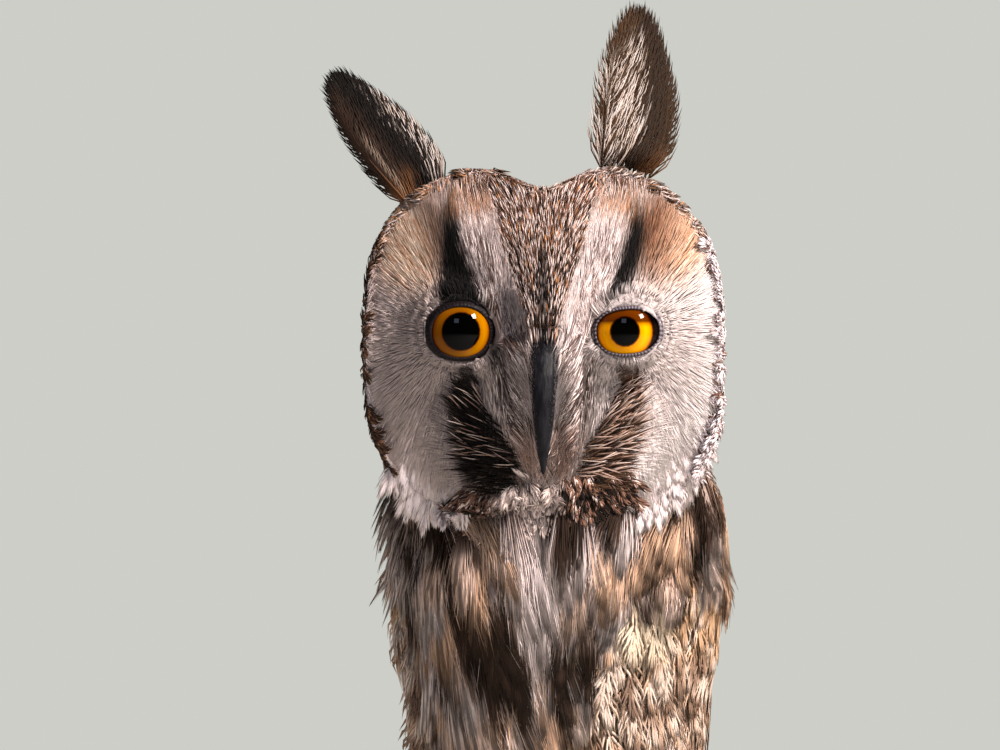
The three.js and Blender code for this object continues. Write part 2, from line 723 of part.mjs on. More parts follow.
function claw(sign, place) {
  const end = TOE_END * place.reach;
  const gapAngle = GAP / (PERCH_RADIUS + TOE_RADIUS);
  const away = (s) => lerp(TOE_RADIUS - 0.5, 0.75, smoothstep(s, 0.1, 1));
  const line = arcRoundPerch(sign, place, end + gapAngle, CLAW_END * place.reach, away);
  const size = (s) => {
    const r = lerp(2.3, 0.35, Math.pow(s, 0.85));
    return [r * 0.85, r];
  };
  return toSolid(toBodyPlace(tube(line, size, 4, 6, vec(1, 0, 0))));
}

// A thin slab across the ankle, which parts the leg from the foot.
function ankleCut(sign) {
  const slab = new THREE.BoxGeometry(26, 30, GAP);
  slab.translate(sign * FOOT_X, PERCH_Y, ANKLE_CUT_Z);
  return toSolid(toBodyPlace(slab));
}

// Wings

function wingEdgesAt(z) {
  const i = Math.max(1, WING_EDGES.findIndex((row) => row.z <= z));
  const [a, b] = [WING_EDGES[i - 1], WING_EDGES[i]];
  const t = Math.min(1, Math.max(0, (a.z - z) / (a.z - b.z)));
  return {
    front: degToRad(lerp(a.front, b.front, t)),
    back: degToRad(lerp(a.back, b.back, t)),
    thick: lerp(a.thick, b.thick, t),
  };
}

// How high the wing's flesh stands on the body at a height and an angle.
function wingLevel(z, angle) {
  const { front, back, thick } = wingEdgesAt(z);
  const v = Math.min(1, Math.max(0, (angle - front) / (back - front)));
  return lerp(1.5, thick, Math.pow(Math.sin(Math.PI * (0.04 + 0.92 * v)), 0.6));
}

// Angles past the soft limit are drawn in, so that neither wing crosses the middle of the back.
function heldIn(angle) {
  const { soft, room } = WING_LIMIT;
  return angle < soft ? angle : soft + room * Math.tanh((angle - soft) / room);
}

// The flesh of the folded wing: a curved sheet on the flank, thin at its edges.
function wingCore(sign) {
  const columns = 8;
  const face = (raiseAt) =>
    WING_FLESH.map((z) => {
      const { front, back } = wingEdgesAt(z);
      return Array.from({ length: columns + 1 }, (_, j) => {
        const angle = lerp(front, back, j / columns);
        const p = onBody(z, heldIn(angle), raiseAt(z, angle));
        return vec(sign * p.x, p.y, p.z);
      });
    });
  return toSolid(toBodyPlace(sheet(face(wingLevel), face(() => WING_INNER))));
}

// A point on the folded wing, never below the wing's inner face.
function onWing(sign, z, angle, rise) {
  const held = heldIn(angle);
  const p = onBody(z, held, Math.max(WING_INNER + 0.2, wingLevel(z, held) + rise));
  return vec(sign * p.x, p.y, p.z);
}

// One flight feather of the hand, laid down the wing's surface from a root that is sunk in.
function primary(sign, k) {
  const { count, rootZ, across, sunk, rise, step } = PRIMARIES;
  const share = k / (count - 1);
  const length = lerp(...PRIMARIES.length, share);
  const turn = degToRad(lerp(...PRIMARIES.turn, share));
  const { front, back } = wingEdgesAt(rootZ);
  const rootAngle = lerp(front, back, lerp(...across, share));
  const pointAt = (s, aside, height) => {
    const middle = onBody(rootZ - s * length, rootAngle + turn * s);
    const round = onBody(rootZ - s * length, rootAngle + turn * s + 0.05).distanceTo(middle) / 0.05;
    const slope = Math.hypot(length, turn * round);
    const z = rootZ - s * length + (aside * turn * round) / slope;
    const angle = rootAngle + turn * s + (aside * length) / slope / round;
    return onWing(sign, z, angle, lerp(sunk, rise + step * k, smoothstep(s, 0, 0.12)) + height);
  };
  return toSolid(toBodyPlace(vane({ pointAt, thick: VANE_THICK, ...PRIMARIES })));
}

// One row of feathers as a single sheet: each feather's front edge stands over the one in front of it,
// and its tip is rounded. The roots are sunk in.
function wingTier(sign, tier) {
  const { front, back } = wingEdgesAt((tier.rootZ[0] + tier.tipZ[0]) / 2);
  const columns = Array.from({ length: tier.count * 3 }, (_, c) => {
    const v = (c % 3) - 1;
    const share = (Math.floor(c / 3) + 0.5 + 0.5 * v) / tier.count;
    return { v, share, wall: v < 0 ? SHINGLE_WALL : 0 };
  });
  const face = (heightAt) =>
    Array.from({ length: tier.rows + 1 }, (_, i) => {
      const s = 1 - Math.pow(1 - i / tier.rows, 1.3);
      return columns.map(({ v, share, wall }) => {
        const tipZ = lerp(...tier.tipZ, share) + tier.scallop * v * v;
        const z = lerp(lerp(...tier.rootZ, share), tipZ, s);
        const turned = degToRad(lerp(...tier.turn, share)) * s;
        const angle = lerp(front, back, lerp(...tier.across, share)) + turned + wall;
        const tucked = SHINGLE * (0.5 + 0.5 * v) * Math.min(1, 2 * s);
        const rise = lerp(-TIER_SUNK, tier.lift, smoothstep(s, 0, 0.7)) - tucked;
        return onWing(sign, z, angle, heightAt(rise));
      });
    });
  const under = tier.free ? (rise) => rise - VANE_THICK : () => -TIER_DEPTH;
  return toSolid(toBodyPlace(sheet(face((rise) => rise), face(under))));
}

function wing(sign, torsoSeat, keepClear) {
  const primaries = Array.from({ length: PRIMARIES.count }, (_, k) => primary(sign, k));
  const tiers = WING_TIERS.map((tier) => wingTier(sign, tier));
  return largest(without(joined([wingCore(sign), ...primaries, ...tiers]), torsoSeat, ...keepClear));
}

// Tail

// The twelve tail feathers fan a little on each side of the middle, the inner ones over the outer ones.
function tailFeather(k) {
  const pairs = TAIL.feathers / 2;
  const sign = k < pairs ? -1 : 1;
  const rank = sign < 0 ? pairs - 1 - k : k - pairs;
  const share = (rank + 0.5) / pairs;
  const length = TAIL.rootZ - TAIL.tipZ - TAIL.outerShort * share * share;
  const depth = TAIL.layer * (5.5 - 2 * rank - (sign > 0 ? 1 : 0));
  const pointAt = (s, aside, height) => {
    const z = TAIL.rootZ - s * length;
    return vec(sign * TAIL.spread * share * (0.5 + 0.5 * s) + aside, bodyAt(z).back + depth + height, z);
  };
  return toSolid(toBodyPlace(vane({ pointAt, stations: STATIONS.short, ...TAIL, blunt: 0.9 })));
}

// The tail's fleshy root, with the coverts' outline above and below it.
function tailRoot() {
  const rings = TAIL_ROOT.map(({ z, share }) => {
    const { halfWidth, halfDepth, back } = bodyAt(z);
    return Array.from({ length: TAIL_ROOT_SIDES }, (_, j) => {
      const a = (j / TAIL_ROOT_SIDES) * 2 * Math.PI;
      return vec(halfWidth * share * Math.cos(a), back + halfDepth * share * Math.sin(a), z);
    });
  });
  return toSolid(toBodyPlace(loft(rings)));
}

function tail(torsoSeat) {
  const feathers = Array.from({ length: TAIL.feathers }, (_, k) => tailFeather(k));
  return largest(without(joined([tailRoot(), ...feathers]), torsoSeat));
}

// Materials

const plumage = new THREE.MeshStandardMaterial({ color: 0x8d7660, roughness: 0.95 });
const facePlumage = new THREE.MeshStandardMaterial({ color: 0xb9ab9c, roughness: 0.95 });
const tuftPlumage = new THREE.MeshStandardMaterial({ color: 0x4b3a2a, roughness: 0.95 });
const flightPlumage = new THREE.MeshStandardMaterial({ color: 0x7d6247, roughness: 0.9 });
const legPlumage = new THREE.MeshStandardMaterial({ color: 0xc59a64, roughness: 0.95 });
const iris = new THREE.MeshStandardMaterial({ color: 0xe88a10, roughness: 0.1 });
const horn = new THREE.MeshStandardMaterial({ color: 0x1c1a1c, roughness: 0.35 });
const bark = new THREE.MeshStandardMaterial({ color: 0x6b4c3c, roughness: 0.9 });
const plinth = new THREE.MeshStandardMaterial({ color: 0x3a3734, roughness: 0.6 });
const steel = new THREE.MeshStandardMaterial({ color: 0x8d8f92, roughness: 0.35, metalness: 1 });

// Assembly

const SIDES = { right: -1, left: 1 };
const headShape = headGeometry(40, 11, 6);
const owl = new THREE.Group();
owl.name = "long_eared_owl";
const add = (name, solid, material) => owl.add(toMesh(name, solid, material));

function addHeadNeckTorso() {
  const lids = Object.entries(SIDES).map(([side, sign]) => lid(sign, EYE_OPENINGS[side]));
  const torso = toSolid(toBodyPlace(torsoGeometry()));
  const whole = joined([toSolid(headShape), ...lids, torso]);
  const sockets = [eyeball(-1, GAP), eyeball(1, GAP), upperBill(GAP), lowerBill(GAP)];
  const parts = without(whole, ...sockets, levelCut(NECK_CUT), levelCut(SHOULDER_CUT)).decompose();
  const nearest = (point) => {
    const centreOf = (one) => {
      const box = one.boundingBox();
      return vec(...[0, 1, 2].map((i) => (box.min[i] + box.max[i]) / 2));
    };
    const big = parts.filter((one) => one.volume() > 100);
    return big.reduce((best, one) =>
      centreOf(one).distanceTo(point) < centreOf(best).distanceTo(point) ? one : best,
    );
  };
  add("head", nearest(HEAD.centre), facePlumage);
  add("neck", nearest(vec(0, 0, (NECK_CUT.z + SHOULDER_CUT.z) / 2)), plumage);
  add("torso", nearest(vec(0, 0, (SHOULDER_CUT.z + VENT_Z) / 2)), plumage);
}

function addTufts() {
  const seat = toSolid(grown(headShape, GAP));
  for (const [side, tuft] of Object.entries(TUFTS)) {
    const whole = joined([tuftRoot(tuft), ...tuftFeathers(tuft)]);
    add(`ear_tuft_${side}`, largest(whole.subtract(seat)), tuftPlumage);
  }
}

function addFace() {
  const upper = upperBill().subtract(nostrils());
  add("bill_upper", upper, horn);
  add("bill_lower", largest(lowerBill().subtract(upperBill(GAP))), horn);
  for (const [side, sign] of Object.entries(SIDES)) add(`eye_${side}`, eyeball(sign), iris);
}

function addWingsAndTail(torsoSeat, legs) {
  for (const [side, sign] of Object.entries(SIDES)) {
    add(`wing_${side}`, wing(sign, torsoSeat, legs), flightPlumage);
  }
  add("tail", tail(torsoSeat), flightPlumage);
}

function addLegs(torsoSeat, branch) {
  const wholes = [];
  for (const [side, sign] of Object.entries(SIDES)) {
    const shin = toSolid(toBodyPlace(legGeometry(sign)));
    const toes = Object.values(TOES).map((place) => toe(sign, place));
    const whole = without(joined([shin, footPad(sign), ...toes]), torsoSeat, branch, ankleCut(sign));
    const parts = whole.decompose().filter((one) => one.volume() > 100);
    parts.sort((a, b) => b.boundingBox().max[2] - a.boundingBox().max[2]);
    add(`leg_${side}`, parts[0], legPlumage);
    add(`foot_${side}`, parts[1], legPlumage);
    for (const [name, place] of Object.entries(TOES)) {
      add(`claw_${side}_${name}`, largest(claw(sign, place).subtract(branch)), horn);
    }
    wholes.push(shin);
  }
  return wholes;
}

function addStand() {
  const rods = [-1, 1].map((sign) => rod(sign));
  const sockets = [-1, 1].map((sign) => rod(sign, GAP));
  add("stand_base", without(standBase(), ...sockets), plinth);
  add("stand_rod_right", rods[0], steel);
  add("stand_rod_left", rods[1], steel);
  const branch = toSolid(toBodyPlace(perchGeometry())).add(perchStub());
  add("perch", without(branch, ...sockets), bark);
}

const torsoSeat = toSolid(toBodyPlace(torsoGeometry(GAP)));
const branchSeat = toSolid(toBodyPlace(perchGeometry(GAP, true)));

addHeadNeckTorso();
addTufts();
addFace();
const legs = addLegs(torsoSeat, branchSeat);
addWingsAndTail(torsoSeat, legs);
addStand();

export default owl;
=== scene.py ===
# %% [markdown]
# A long-eared owl on a cut branch over a plain stand, life size. The solids of the bird, the branch and
# the stand come from the frame, and this file gives them their looks: skin, feathers, eyes and light.

# %% Frame
import math

import bpy
import numpy as np
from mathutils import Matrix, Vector
from mathutils.bvhtree import BVHTree


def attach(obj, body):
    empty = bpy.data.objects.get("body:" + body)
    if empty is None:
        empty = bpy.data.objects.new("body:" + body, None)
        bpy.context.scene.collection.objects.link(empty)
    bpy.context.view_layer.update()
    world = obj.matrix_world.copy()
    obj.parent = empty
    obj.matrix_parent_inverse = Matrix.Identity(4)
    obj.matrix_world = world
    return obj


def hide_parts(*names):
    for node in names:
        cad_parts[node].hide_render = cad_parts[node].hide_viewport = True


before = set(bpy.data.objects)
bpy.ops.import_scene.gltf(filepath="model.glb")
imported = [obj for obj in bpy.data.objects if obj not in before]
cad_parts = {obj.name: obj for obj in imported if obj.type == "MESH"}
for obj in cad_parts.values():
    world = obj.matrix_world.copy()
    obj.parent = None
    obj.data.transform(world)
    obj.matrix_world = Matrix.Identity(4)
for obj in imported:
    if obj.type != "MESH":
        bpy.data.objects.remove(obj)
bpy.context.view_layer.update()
MM = 0.001
rng = np.random.default_rng(7)


def new_object(name, data):
    thing = bpy.data.objects.new(name, data)
    bpy.context.scene.collection.objects.link(thing)
    return thing


# %% [markdown]
# The photograph was taken with a long lens, level with the bird's face. A long lens far away shows the
# head almost without perspective, so the camera stands well back and looks straight along Y.

# %% Camera
PHOTO_WIDTH = 242 * MM
LENS = 400
SENSOR = 36
CAMERA_X = -10.4 * MM
CAMERA_Z = 322.5 * MM
FACE_Y = -38 * MM
camera_data = bpy.data.cameras.new("camera")
camera_data.lens = LENS
camera_data.sensor_width = SENSOR
camera_data.clip_end = 100
camera = new_object("camera", camera_data)
camera.location = (CAMERA_X, FACE_Y - PHOTO_WIDTH * LENS / SENSOR, CAMERA_Z)
camera.rotation_euler = (math.pi / 2, 0, 0)
bpy.context.scene.camera = camera
print("camera distance m", round(-camera.location.y, 2))

# %% [markdown]
# Colours are written as the hex values that a colour picker shows, and turned to linear light once. One
# function adds a node with its settings and links, and a few short ones call it for the kinds of node that
# every material needs.


# %% Colours and nodes
def colour(hex_code):
    srgb = np.array([int(hex_code[i:i + 2], 16) / 255 for i in (1, 3, 5)])
    return np.where(srgb <= 0.04045, srgb / 12.92, ((srgb + 0.055) / 1.055) ** 2.4)


def rgba(hex_code):
    return (*colour(hex_code), 1)


def add_node(tree, kind, inputs=None, **settings):
    node = tree.nodes.new(kind)
    for key, value in settings.items():
        setattr(node, key, value)
    for key, value in (inputs or {}).items():
        if isinstance(value, bpy.types.NodeSocket):
            tree.links.new(value, node.inputs[key])
        else:
            node.inputs[key].default_value = value
    return node


def new_material(name, roughness, **sockets):
    material = bpy.data.materials.new(name)
    material.use_nodes = True
    shader = material.node_tree.nodes["Principled BSDF"]
    shader.inputs["Roughness"].default_value = roughness
    for key, value in sockets.items():
        shader.inputs[key.replace("_", " ")].default_value = value
    return material, material.node_tree, shader


def object_place(tree):
    return add_node(tree, "ShaderNodeTexCoord").outputs["Object"]


def noise(tree, place, scale, detail):
    return add_node(tree, "ShaderNodeTexNoise", {"Vector": place, "Scale": scale, "Detail": detail})


def placed(tree, place, **settings):
    inputs = {"Vector": place, **{key.title(): value for key, value in settings.items()}}
    return add_node(tree, "ShaderNodeMapping", inputs).outputs["Vector"]


def ranged(tree, value, kind="LINEAR", **limits):
    """A value moved from one range to another, with limits such as from_max and to_min."""
    inputs = {"Value": value, **{key.replace("_", " ").title(): limit for key, limit in limits.items()}}
    return add_node(tree, "ShaderNodeMapRange", inputs, interpolation_type=kind).outputs["Result"]


def reckoned(tree, operation, *values):
    return add_node(tree, "ShaderNodeMath", dict(enumerate(values)), operation=operation).outputs["Value"]


def vector_node(tree, operation, *values):
    return add_node(tree, "ShaderNodeVectorMath", dict(enumerate(values)), operation=operation)


def ramp(tree, share, *stops):
    """A colour ramp. Each stop is a position and a hex code, in rising order."""
    node = add_node(tree, "ShaderNodeValToRGB", {"Fac": share})
    elements = node.color_ramp.elements
    for i, (position, code) in enumerate(stops):
        stop = elements[i] if i < 2 else elements.new(position)
        stop.position = position
        stop.color = rgba(code)
    return node.outputs["Color"]


def blended(tree, share, under, over, how="MIX"):
    inputs = {0: share, 6: under, 7: over}
    return add_node(tree, "ShaderNodeMix", inputs, data_type="RGBA", blend_type=how).outputs[2]


def raise_bumps(tree, shader, height, strength, distance):
    inputs = {"Height": height, "Strength": strength, "Distance": distance}
    tree.links.new(add_node(tree, "ShaderNodeBump", inputs).outputs["Normal"], shader.inputs["Normal"])


# %% [markdown]
# Under the plumage is one skin. It is made from copies of the flesh solids, joined, remeshed into one
# surface so that no seam is left, smoothed, and then drawn in by the depth of the coat at each place.

# %% Skin
SKIN_VOXEL = 1.5
FLESH = ["head", "neck", "torso", "leg_left", "leg_right", "foot_left", "foot_right"]
WINGS = ["wing_left", "wing_right"]
FLESH_END = {"wing_left": 146, "wing_right": 146, "tail": 106}


def only(*objects):
    bpy.ops.object.select_all(action="DESELECT")
    for one in objects:
        one.select_set(True)
    bpy.context.view_layer.objects.active = objects[0]


def copy_of(node):
    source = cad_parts[node]
    twin = new_object(node + "_copy", source.data.copy())
    only(twin)
    bpy.ops.object.mode_set(mode="EDIT")
    bpy.ops.mesh.select_all(action="SELECT")
    bpy.ops.mesh.remove_doubles(threshold=1e-6)
    if node in FLESH_END:
        height = (0, 0, FLESH_END[node] * MM)
        bpy.ops.mesh.bisect(plane_co=height, plane_no=(0, 0, 1), use_fill=True, clear_inner=True)
    bpy.ops.object.mode_set(mode="OBJECT")
    return twin


def joined_copy(name, nodes):
    copies = [copy_of(node) for node in nodes]
    only(*copies)
    bpy.ops.object.join()
    whole = bpy.context.view_layer.objects.active
    whole.name = whole.data.name = name
    whole.data.materials.clear()
    return whole


def modify(thing, kind, **settings):
    modifier = thing.modifiers.new(kind.lower(), kind)
    for key, value in settings.items():
        setattr(modifier, key, value)
    only(thing)
    bpy.ops.object.modifier_apply(modifier=modifier.name)


def remeshed(name, nodes, voxel, smoothing):
    whole = joined_copy(name, nodes)
    modify(whole, "REMESH", mode="VOXEL", voxel_size=voxel * MM, use_smooth_shade=True)
    modify(whole, "SMOOTH", factor=0.5, iterations=smoothing)
    return whole


def corners_of(thing):
    flat = np.empty(len(thing.data.vertices) * 3, dtype=np.float64)
    thing.data.vertices.foreach_get("co", flat)
    return flat.reshape(-1, 3) / MM


def move_corners(thing, places):
    thing.data.vertices.foreach_set("co", (places * MM).ravel())
    thing.data.update()


skin = remeshed("skin", FLESH + WINGS + ["tail"], SKIN_VOXEL, 3)
print("skin faces", len(skin.data.polygons))

# %% [markdown]
# Places on the head are given in millimetres from the head's centre, x to the bird's left and z up. The
# body has a frame of its own, turned 30 degrees under the head. How deep the coat is follows from these.

# %% Head and body places
SIDES = {-1: "right", 1: "left"}
HEAD_CENTRE = np.array([0.0, -8.0, 330.0])
EYE = np.array([20.3, -26.35, 3.0])
EYE_RADIUS = 9.6
FACE_HALF_WIDTH = 45.3
FACE_HALF_HEIGHT = 45.6
FACE_SQUARENESS = 2.75
BODY_TURN = math.radians(-30)
BODY_SHIFT = np.array([3.0, 0.0, 0.0])
COAT = {"body": 4.2, "face": 2.2, "less_at_eye": 1.3, "wing": 1.8, "leg": 1.2}


def smooth(value, low, high):
    t = np.clip((value - low) / (high - low), 0, 1)
    return t * t * (3 - 2 * t)


def from_head(places):
    """x, y and z from the head's centre."""
    return np.moveaxis(places - HEAD_CENTRE, -1, 0)


def from_eye(x, z):
    """How far places on the head are from the nearer eye, seen from the front."""
    return np.hypot(np.abs(x) - EYE[0], z - EYE[2])


def face_share(x, z):
    """0 at the middle of the face and 1 at the rim of a full face."""
    n = FACE_SQUARENESS
    return (np.abs(x / FACE_HALF_WIDTH) ** n + np.abs(z / FACE_HALF_HEIGHT) ** n) ** (1 / n)


def turned(places, angle):
    x, y, z = np.moveaxis(places, -1, 0)
    c, s = math.cos(angle), math.sin(angle)
    return np.stack([c * x - s * y, s * x + c * y, z], axis=-1)


def to_body(places):
    return turned(places - BODY_SHIFT, -BODY_TURN)


def from_body(places):
    return turned(places, BODY_TURN) + BODY_SHIFT


# Half widths, half depths and middles of the body, and where the wing starts and ends round it, in degrees
# from its side, by height. The feathers of the wing reach further forward than the wing itself.
BODY_Z = [20, 55, 90, 118, 140, 160, 182, 205, 230, 256, 280, 297, 312, 324]
BODY_WIDTH = [27, 28, 26, 24, 24, 27.5, 29.5, 28.8, 29, 35, 44.5, 43.5, 34, 22]
BODY_DEPTH = [7, 7.5, 8.5, 11.5, 20, 29, 34, 36.5, 38.5, 39.5, 39, 36, 27, 17]
BODY_BACK = [58, 48.5, 37.5, 28.5, 18, 9, 4.5, 1, -0.5, 0, 1, 2, 2, 0]
WING_Z = [20, 122, 140, 165, 195, 225, 250, 266, 276]
WING_FRONT = [60, 20, 0, -18, -33, -40, -42, -32, -10]
WING_BACK = [88, 88, 88, 88, 87, 86, 80, 72, 60]
WING_COAT_Z = [20, 122, 140, 165, 195, 225, 245, 261, 270, 278, 283]
WING_COAT_FRONT = [60, 20, 0, -18, -38, -60, -62, -50, -46, -40, -20]


def on_body(z, degrees, raised, sign=1):
    angle = np.radians(degrees)
    width = np.interp(z, BODY_Z, BODY_WIDTH) + raised
    depth = np.interp(z, BODY_Z, BODY_DEPTH) + raised
    back = np.interp(z, BODY_Z, BODY_BACK)
    return from_body(np.stack([sign * width * np.cos(angle), back + depth * np.sin(angle), z + 0 * angle],
                              axis=-1))


def body_angle(places):
    own = to_body(places)
    z = own[..., 2]
    across = np.abs(own[..., 0]) / np.interp(z, BODY_Z, BODY_WIDTH)
    deep = (own[..., 1] - np.interp(z, BODY_Z, BODY_BACK)) / np.interp(z, BODY_Z, BODY_DEPTH)
    return np.degrees(np.arctan2(deep, across))


def under_wing(places, margin=0, heights=WING_Z, fronts=WING_FRONT, top=272):
    """A positive margin, in degrees, keeps clear of the wing's front edge."""
    z = places[..., 2]
    angle = body_angle(places)
    low, high = np.interp(z, heights, fronts), np.interp(z, WING_Z, WING_BACK)
    return (angle > low + margin) & (angle < high + 4) & (z < top) & (z > 118)


def under_wing_coat(places, margin=0):
    """The feathers of the wing reach further forward and up than its flesh."""
    return under_wing(places, margin, WING_COAT_Z, WING_COAT_FRONT, 279)


def coat_depth(places):
    x, y, z = from_head(places)
    on_face = smooth(-y, 12, 22) * smooth(places[:, 2], 284, 292)
    depth = COAT["body"] * (1 - on_face) + COAT["face"] * on_face
    depth -= COAT["less_at_eye"] * on_face * (1 - smooth(from_eye(x, z), 9, 15))
    depth += (COAT["wing"] - depth) * under_wing(places, 4)
    above_legs = smooth(places[:, 2], 134, 165)
    return np.where(under_wing(places), depth, COAT["leg"] + (depth - COAT["leg"]) * above_legs)


skin_corners = corners_of(skin)
skin_out = np.array([corner.normal for corner in skin.data.vertices])
depths = coat_depth(skin_corners)
move_corners(skin, skin_corners - skin_out * depths[:, None])
modify(skin, "SMOOTH", factor=0.5, iterations=6)
modify(skin, "TRIANGULATE")
print("coat depth mm", depths.min().round(1), "to", depths.max().round(1))

# %% [markdown]
# The skin is unwrapped once. Every feather keeps its own small patch of that unwrap, at its root's place,
# so that its colours have room of their own when the model is exported.

# %% Unwrap of the skin
PATCH = 0.003
only(skin)
bpy.ops.object.mode_set(mode="EDIT")
bpy.ops.mesh.select_all(action="SELECT")
bpy.ops.uv.smart_project(angle_limit=math.radians(66), island_margin=0.002)
bpy.ops.object.mode_set(mode="OBJECT")
skin.data.uv_layers[0].name = "OFBake"


def array_of(things, key, width, kind=np.float64):
    flat = np.empty(len(things) * width, dtype=kind)
    things.foreach_get(key, flat)
    return flat.reshape(-1, width) if width > 1 else flat


skin_corners = corners_of(skin)
skin_out = array_of(skin.data.vertices, "normal", 3)
skin_faces = array_of(skin.data.polygons, "vertices", 3, np.int32)
skin_unwrap = array_of(skin.data.uv_layers[0].uv, "vector", 2).reshape(-1, 3, 2)
print("skin triangles", len(skin_faces))

# %% [markdown]
# Feathers are set on two grounds: the soft coat on the skin, and the quills on the outside of the solid
# wings. A ground finds the nearest place on itself and which way is out.


# %% Grounds
def ground_of(places, faces):
    return BVHTree.FromPolygons(places.tolist(), faces.tolist())


def solid_ground(*nodes):
    places, faces, start = [], [], 0
    for node in nodes:
        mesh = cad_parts[node].data
        mesh.calc_loop_triangles()
        places.append(array_of(mesh.vertices, "co", 3) / MM)
        faces.append(array_of(mesh.loop_triangles, "vertices", 3, np.int32) + start)
        start += len(mesh.vertices)
    return ground_of(np.concatenate(places), np.concatenate(faces))


def nearest(ground, points):
    """The nearest place on a ground for each point, the way out there, and its triangle."""
    places, outs, faces = np.empty(points.shape), np.empty(points.shape), np.empty(len(points), int)
    for i, point in enumerate(points.tolist()):
        place, out, face, _ = ground.find_nearest(point)
        places[i], outs[i], faces[i] = place, out, face
    return places, outs, faces


skin_ground = ground_of(skin_corners, skin_faces)
wing_ground = {1: solid_ground("wing_left", "torso"), -1: solid_ground("wing_right", "torso")}


TRIES = 5
CELL = 0.82


def scatter(spacing, region):
    """Seeded roots all over a region of the skin, one in each cell of a little under the spacing."""
    a, b, c = (skin_corners[skin_faces[:, k]] for k in range(3))
    area = np.linalg.norm(np.cross(b - a, c - a), axis=1) / 2
    area = area * region((a + b + c) / 3)
    count = int(TRIES * area.sum() / spacing ** 2)
    face = rng.choice(len(area), count, p=area / area.sum())
    weight = rng.dirichlet((1, 1, 1), count)[:, :, None]
    points = (skin_corners[skin_faces[face]] * weight).sum(axis=1)
    cells = np.floor(points / (spacing * CELL)).astype(int)
    _, first = np.unique(cells, axis=0, return_index=True)
    outs = (skin_out[skin_faces[face[first]]] * weight[first]).sum(axis=1)
    return points[first], outs / np.linalg.norm(outs, axis=1)[:, None]


def patch_of(points):
    """The place on the skin's unwrap that lies nearest to each point."""
    places, _, face = nearest(skin_ground, points)
    a, b, c = (skin_corners[skin_faces[face, k]] for k in range(3))
    across, along, to = b - a, c - a, places - a
    d00, d01, d11 = (across ** 2).sum(1), (across * along).sum(1), (along ** 2).sum(1)
    d20, d21 = (to * across).sum(1), (to * along).sum(1)
    scale = np.maximum(d00 * d11 - d01 ** 2, 1e-12)
    v, w = (d11 * d20 - d01 * d21) / scale, (d00 * d21 - d01 * d20) / scale
    weight = np.clip(np.stack([1 - v - w, v, w], axis=1), 0, 1)[:, :, None]
    return (skin_unwrap[face] * weight).sum(axis=1)


# %% [markdown]
# A feather is a shaft with barbs on both sides. Here each barb is one slim closed sliver with a ridge on
# top. A template lists the slivers of one kind of feather by their place along it, u, and across it, v.
# Hairs are the simplest kind, with the shaft alone.


# %% Kinds of feather
def vane_width(u, blunt):
    body = 0.4 + 0.6 * smooth(u, 0, 0.4)
    tip = np.sqrt(np.maximum(0, 1 - np.maximum(0, (u - 0.5) / 0.5) ** blunt))
    return body * tip


def feather_kind(per_side, sweep, barb, blunt=2.4, bases=(0.05, 0.93), loose=0.0, end=0.985, ragged=1.0,
                 spread=0.0):
    """Barbs of one half width, in millimetres, that start between the bases and sweep towards the tip.

    A blunt vane keeps its width further. A loose one has uneven edges, and a ragged one has barbs that
    differ from feather to feather. With spread, a barb leaves the shaft at a distance from it.
    """
    lines, widths = [], []
    s = np.array([0, 0.55, 1])
    furthest = bases[1] + sweep * (1.1 - 0.5 * bases[1])
    for side in (-1, 1):
        for i in range(per_side):
            u0 = bases[0] + (bases[1] - bases[0]) * (i + (0.25 if side > 0 else 0.75)) / per_side
            reach = u0 + sweep * (1.1 - 0.5 * u0)
            u1 = min(1.0, reach)
            v1 = side * vane_width(min(u1, end), blunt)
            v1 *= 1 - max(0, reach - 1) / max(furthest - 1, 0.01)
            if loose:
                v1 *= (1, 0.45, 0.8, 0.2)[i % 4]
            u1 += loose * (i % 3 - 1)
            aside = spread + (1 - spread) * np.sin(s * math.pi / 2)
            lines.append(np.stack([u0 + (u1 - u0) * s, v1 * aside], axis=1))
            widths.append([barb, barb * 0.85])
    lines.append([[0, 0], [0.55, 0], [0.99, 0]])
    widths.append([0.3, 0.2])
    return {"lines": np.array(lines), "widths": np.array(widths), "ragged": ragged}


def hair_kind(stations, widths):
    return {"lines": np.array([[[at, 0] for at in stations]]), "widths": np.array([widths]), "ragged": 1.0}


HAIR = hair_kind((0, 0.5, 1), (1, 0.9))
BRISTLE = hair_kind((0, 0.35, 0.72, 1), (1, 0.9, 0.6))
SOFT_FEATHER = feather_kind(25, 0.74, 0.2, bases=(0.0, 0.62), loose=0.06, spread=0.45)
SMALL_FEATHER = feather_kind(7, 0.5, 0.28, bases=(0.0, 0.75), loose=0.03, spread=0.2)
FIRM_FEATHER = feather_kind(21, 0.34, 0.36, loose=0.02)
COVERT_FEATHER = feather_kind(13, 0.46, 0.38, bases=(0.0, 0.8), loose=0.02, spread=0.2)
LONG_COVERT_FEATHER = feather_kind(30, 0.34, 0.4, blunt=2.8, loose=0.01, spread=0.1)
QUILL_FEATHER = feather_kind(54, 0.2, 0.9, blunt=3.2, ragged=0.25)
print("slivers", [len(kind["lines"]) for kind in (SMALL_FEATHER, SOFT_FEATHER, FIRM_FEATHER, QUILL_FEATHER)])

# %% [markdown]
# Laying feathers means bending each template along its own middle line. The line starts at the root, follows
# the ground in the lie of the coat and rises from it towards the tip. All slivers of a piece are computed
# together as arrays and become one mesh. Every finished piece then gets its material in the same way.


# %% Laying feathers
MIDDLE_STEPS = 4
JITTER_ALONG = 0.012
JITTER_ACROSS = 0.05


def unit(vectors):
    return vectors / np.maximum(np.linalg.norm(vectors, axis=-1, keepdims=True), 1e-9)


